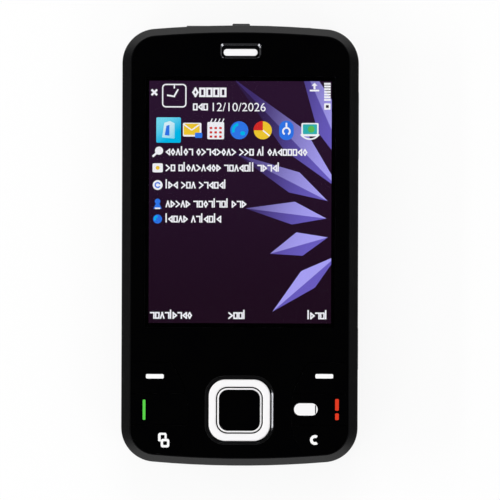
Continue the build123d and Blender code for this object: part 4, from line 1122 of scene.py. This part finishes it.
# %% Sloping rims
def rim(name, outer, inner, high, low, bottom, finish):
    """A ring in an opening, whose top slopes down from an outer to an inner outline. Each is
    given as its centre, width, height and corner radius."""
    def outline(shape, inset):
        x, y, width, height, radius = shape
        return bar(x, y, width - 2 * inset, height - 2 * inset, radius - inset, 10)

    loops = [
        (outline(shape, inset), z)
        for shape, inset, z in (
            (outer, 0.04, bottom), (outer, 0.04, high - 0.03), (outer, 0.07, high),
            (inner, 0.0, low), (inner, 0.03, low - 0.03), (inner, 0.03, bottom),
        )
    ]
    return skin(name, loops, finish, "slider")


dark_chrome = coat("dark_chrome", (58, 58, 60), (50, 50, 52), 0.05, 0.02, 0.4, 0.0003, Metallic=1.0)
rim_chrome = coat(
    "rim_chrome", (132, 132, 136), (120, 120, 124), 0.1, 0.04, 0.4, 0.0004, Metallic=1.0
)
pad_y = -38.3
earpiece_y = 45.3
rim_top = 17.76  # just under the front
rim(
    "pad_rim", (0.0, pad_y, 15.8, 15.8, 4.5), (0.0, pad_y, 15.0, 15.0, 4.1),
    rim_top, 17.59, 16.95, dark_chrome,
)
rim(
    "earpiece_rim", (0.0, earpiece_y, 9.6, 3.6, 1.0), (0.0, earpiece_y - 0.2, 8.9, 3.0, 0.85),
    rim_top, 17.58, 17.22, rim_chrome,
)
print("rims: 2")

# %% [markdown]
# ## Camera optics
# Behind the flat glass on the back sits a small lens barrel. A domed front element in a metal
# ring gives it the depth of a real camera, and its coloured glint is painted into its colour.


# %% Turned parts
def turned(name, profile, x, y, finish, body, place=upright, steps=48):
    """A solid of revolution about a line through (x, y), from its radius and height pairs."""
    build = bmesh.new()
    rings = []
    for radius, z in profile:
        if radius == 0:
            rings.append([build.verts.new(place(x, y, z))])
            continue
        turns = [2 * math.pi * i / steps for i in range(steps)]
        rings.append([
            build.verts.new(place(x + radius * math.cos(t), y + radius * math.sin(t), z))
            for t in turns
        ])
    for first, second in zip(rings, rings[1:] + ([] if len(rings[0]) == 1 else rings[:1])):
        if len(first) > 1 and len(second) > 1:
            join(build, first, second)
            continue
        for i in range(steps):
            after = (i + 1) % steps
            if len(first) == 1:
                build.faces.new((first[0], second[after], second[i]))
            else:
                build.faces.new((first[i], first[after], second[0]))
    bmesh.ops.recalc_face_normals(build, faces=build.faces)
    piece = finished(name, build, finish, body)
    piece.data.shade_smooth()
    return piece


print("steps round a turned part: 48")

# %% [markdown]
# Real lenses are coated, which gives them a violet glint that changes towards the edge. Here that
# glint is a painted reflection in the base colour: deep blue where the element faces the view and
# violet towards its edge. The front element is a shallow dome that sits well behind its metal ring.

# %% Front element and its ring
camera_y = 31.0
coating = material("lens_coating_glint")
painted_glint_share = coating.node("LayerWeight", None, {"Blend": 0.4}, 1)
# Painted reflection: the base colour goes from deep blue to violet as the surface turns away from
# the view, standing in for the coloured glint of the coating.
lens_coating_glint = coating.surface({
    "Base Color": coating.blend(painted_glint_share, rgb(20, 14, 60), rgb(90, 40, 120)),
    "Roughness": 0.04 + 0.03 * coating.noise(1.5),
    "Normal": coating.bump(coating.noise(3.0), 0.0005),
    "Coat Weight": 1.0,
})
dome_steps = 6
dome_radius = 1.25
dome_base = 2.05
dome_height = 0.45
dome_turns = [math.pi / 2 * i / dome_steps for i in range(dome_steps + 1)]
dome = [(dome_radius * math.sin(t), dome_base - dome_height * math.cos(t)) for t in dome_turns]
turned(
    "camera_front_element",
    dome + [(dome_radius, 2.2), (0, 2.2)],
    0, camera_y, lens_coating_glint, "base",
)
plate_z = 0.4
turned(
    "camera_ring",
    [(3.42, plate_z + 0.05), (3.42, 0.28), (3.5, 0.22), (3.8, 0.22), (3.92, 0.32),
     (3.92, plate_z + 0.05)],
    0, camera_y, lens_metal, "base",
)
print("camera pieces: 2, around y =", camera_y)

# %% [markdown]
# ## Small fittings
# A few details are too thin for the solids: grip ribs in the thumb recess of the cover, the
# label and the contacts of the battery, a thin black sheet in the seam at the cover's end as
# painted shade, plus and minus signs on the volume rocker, a small open ring on the camera key, the
# lined mouth of the headphone jack and the contact strips in the data socket.

# %% Grip, battery and seal
grip_y = 7.0
sheet(
    "cover_grip_ribs",
    [bar(2.0 * i, grip_y, 0.55, 4.0, 0.27) for i in range(-3, 4)],
    0.05, 0.34, cover_plastic, "battery_cover", "cover_plastic",
)
battery_x, _ = middle("battery")
label_grey = coat("label_grey", (176, 178, 180), (162, 164, 167), 0.5, 0.1, 0.5, 0.001)
sheet(
    "battery_label", [bar(battery_x, -13.0, 27.0, 35.0, 1.2)],
    1.06, 1.1, label_grey, "base", "battery_label",
)
sheet(
    "battery_label_print",
    [bar(battery_x, 1.2, 23.0, 1.0, 0.2), bar(battery_x - 9.0, -2.4, 3.0, 0.6, 0.1),
     bar(battery_x + 9.0, -2.4, 3.0, 0.6, 0.1), bar(battery_x + 9.0, -2.4, 0.6, 3.0, 0.1),
     bar(battery_x, -27.0, 23.0, 0.5, 0.1), bar(battery_x, -24.6, 23.0, 0.5, 0.1)],
    1.045, 1.062, grey_ink, "base", "battery_label",
)
sheet(
    "battery_contacts",
    [bar(battery_x + 3.4 * i, 9.0, 2.2, 1.5, 0.2) for i in (-1, 0, 1)],
    1.05, 1.12, contact_gold, "base", "steel",
)
cover_seam_y = 15.05
# Painted shade: a thin black sheet closes the seam at the cover's end, so the gap reads as shadow
# and lets no light through.
sheet(
    "cover_seam_shade", [bar(0.0, cover_seam_y, 51.6, 0.07, 0.03)],
    0.15, 1.65, board_black, "base", "housing_plastic",
)
print("cover, battery and seal pieces: 5")

# %% [markdown]
# The signs on the side buttons are sheets as well, turned so that their outlines lie on the
# side wall and their thickness points outwards.


# %% Signs on the side buttons
def sideways(y, z, x):
    """Outlines lie on a side wall and heights go outwards along X."""
    return (x * mm, y * mm, z * mm)


button_face = 27.6  # the faces of the side buttons, from the middle of the phone
sign_low = button_face - 0.03
sign_high = button_face + ink_thickness
sign_z = 5.4
sheet(
    "volume_signs",
    [bar(33.6, sign_z, 1.5, 0.3, 0.1), bar(33.6, sign_z, 0.3, 1.5, 0.1),
     bar(22.4, sign_z, 1.5, 0.3, 0.1)],
    sign_low, sign_high, grey_ink, "volume_rocker", "button_plastic", sideways,
)
sheet(
    "camera_key_sign", [arc(-24.0, sign_z, 0.6, 0.25, 0, 345)],
    sign_low, sign_high, grey_ink, "camera_key", "button_plastic", sideways,
)
print("signs on the side buttons: 2")

# %% [markdown]
# The headphone jack is lined with a thin metal lip. It is a turned part that lies on its side,
# facing the end wall. The data socket shows five gold strips on its tongue.


# %% Jack mouth and data contacts
def endways(x, z, y):
    """Outlines lie on an end wall and heights go outwards along Y."""
    return (x * mm, y * mm, z * mm)


jack_x = 14.0
jack_z = 5.0
jack_face = 50.78
turned(
    "jack_mouth",
    [(1.82, jack_face - 0.2), (1.82, jack_face + 0.03), (2.15, jack_face + 0.03),
     (2.22, jack_face - 0.02), (2.22, jack_face - 0.2)],
    jack_x, jack_z, socket_metal, "base", endways,
)
sheet(
    "data_contacts",
    [bar(0.65 * i, -48.2, 0.34, 2.6, 0.05) for i in range(-2, 3)],
    4.70, 4.76, contact_gold, "base", "steel",
)
print("jack and data pieces: 2")

# %% [markdown]
# ## Last step
# Only the signs on the right side stand out past the solids, by the thickness of their ink.

# %% Update of the scene
bpy.context.view_layer.update()
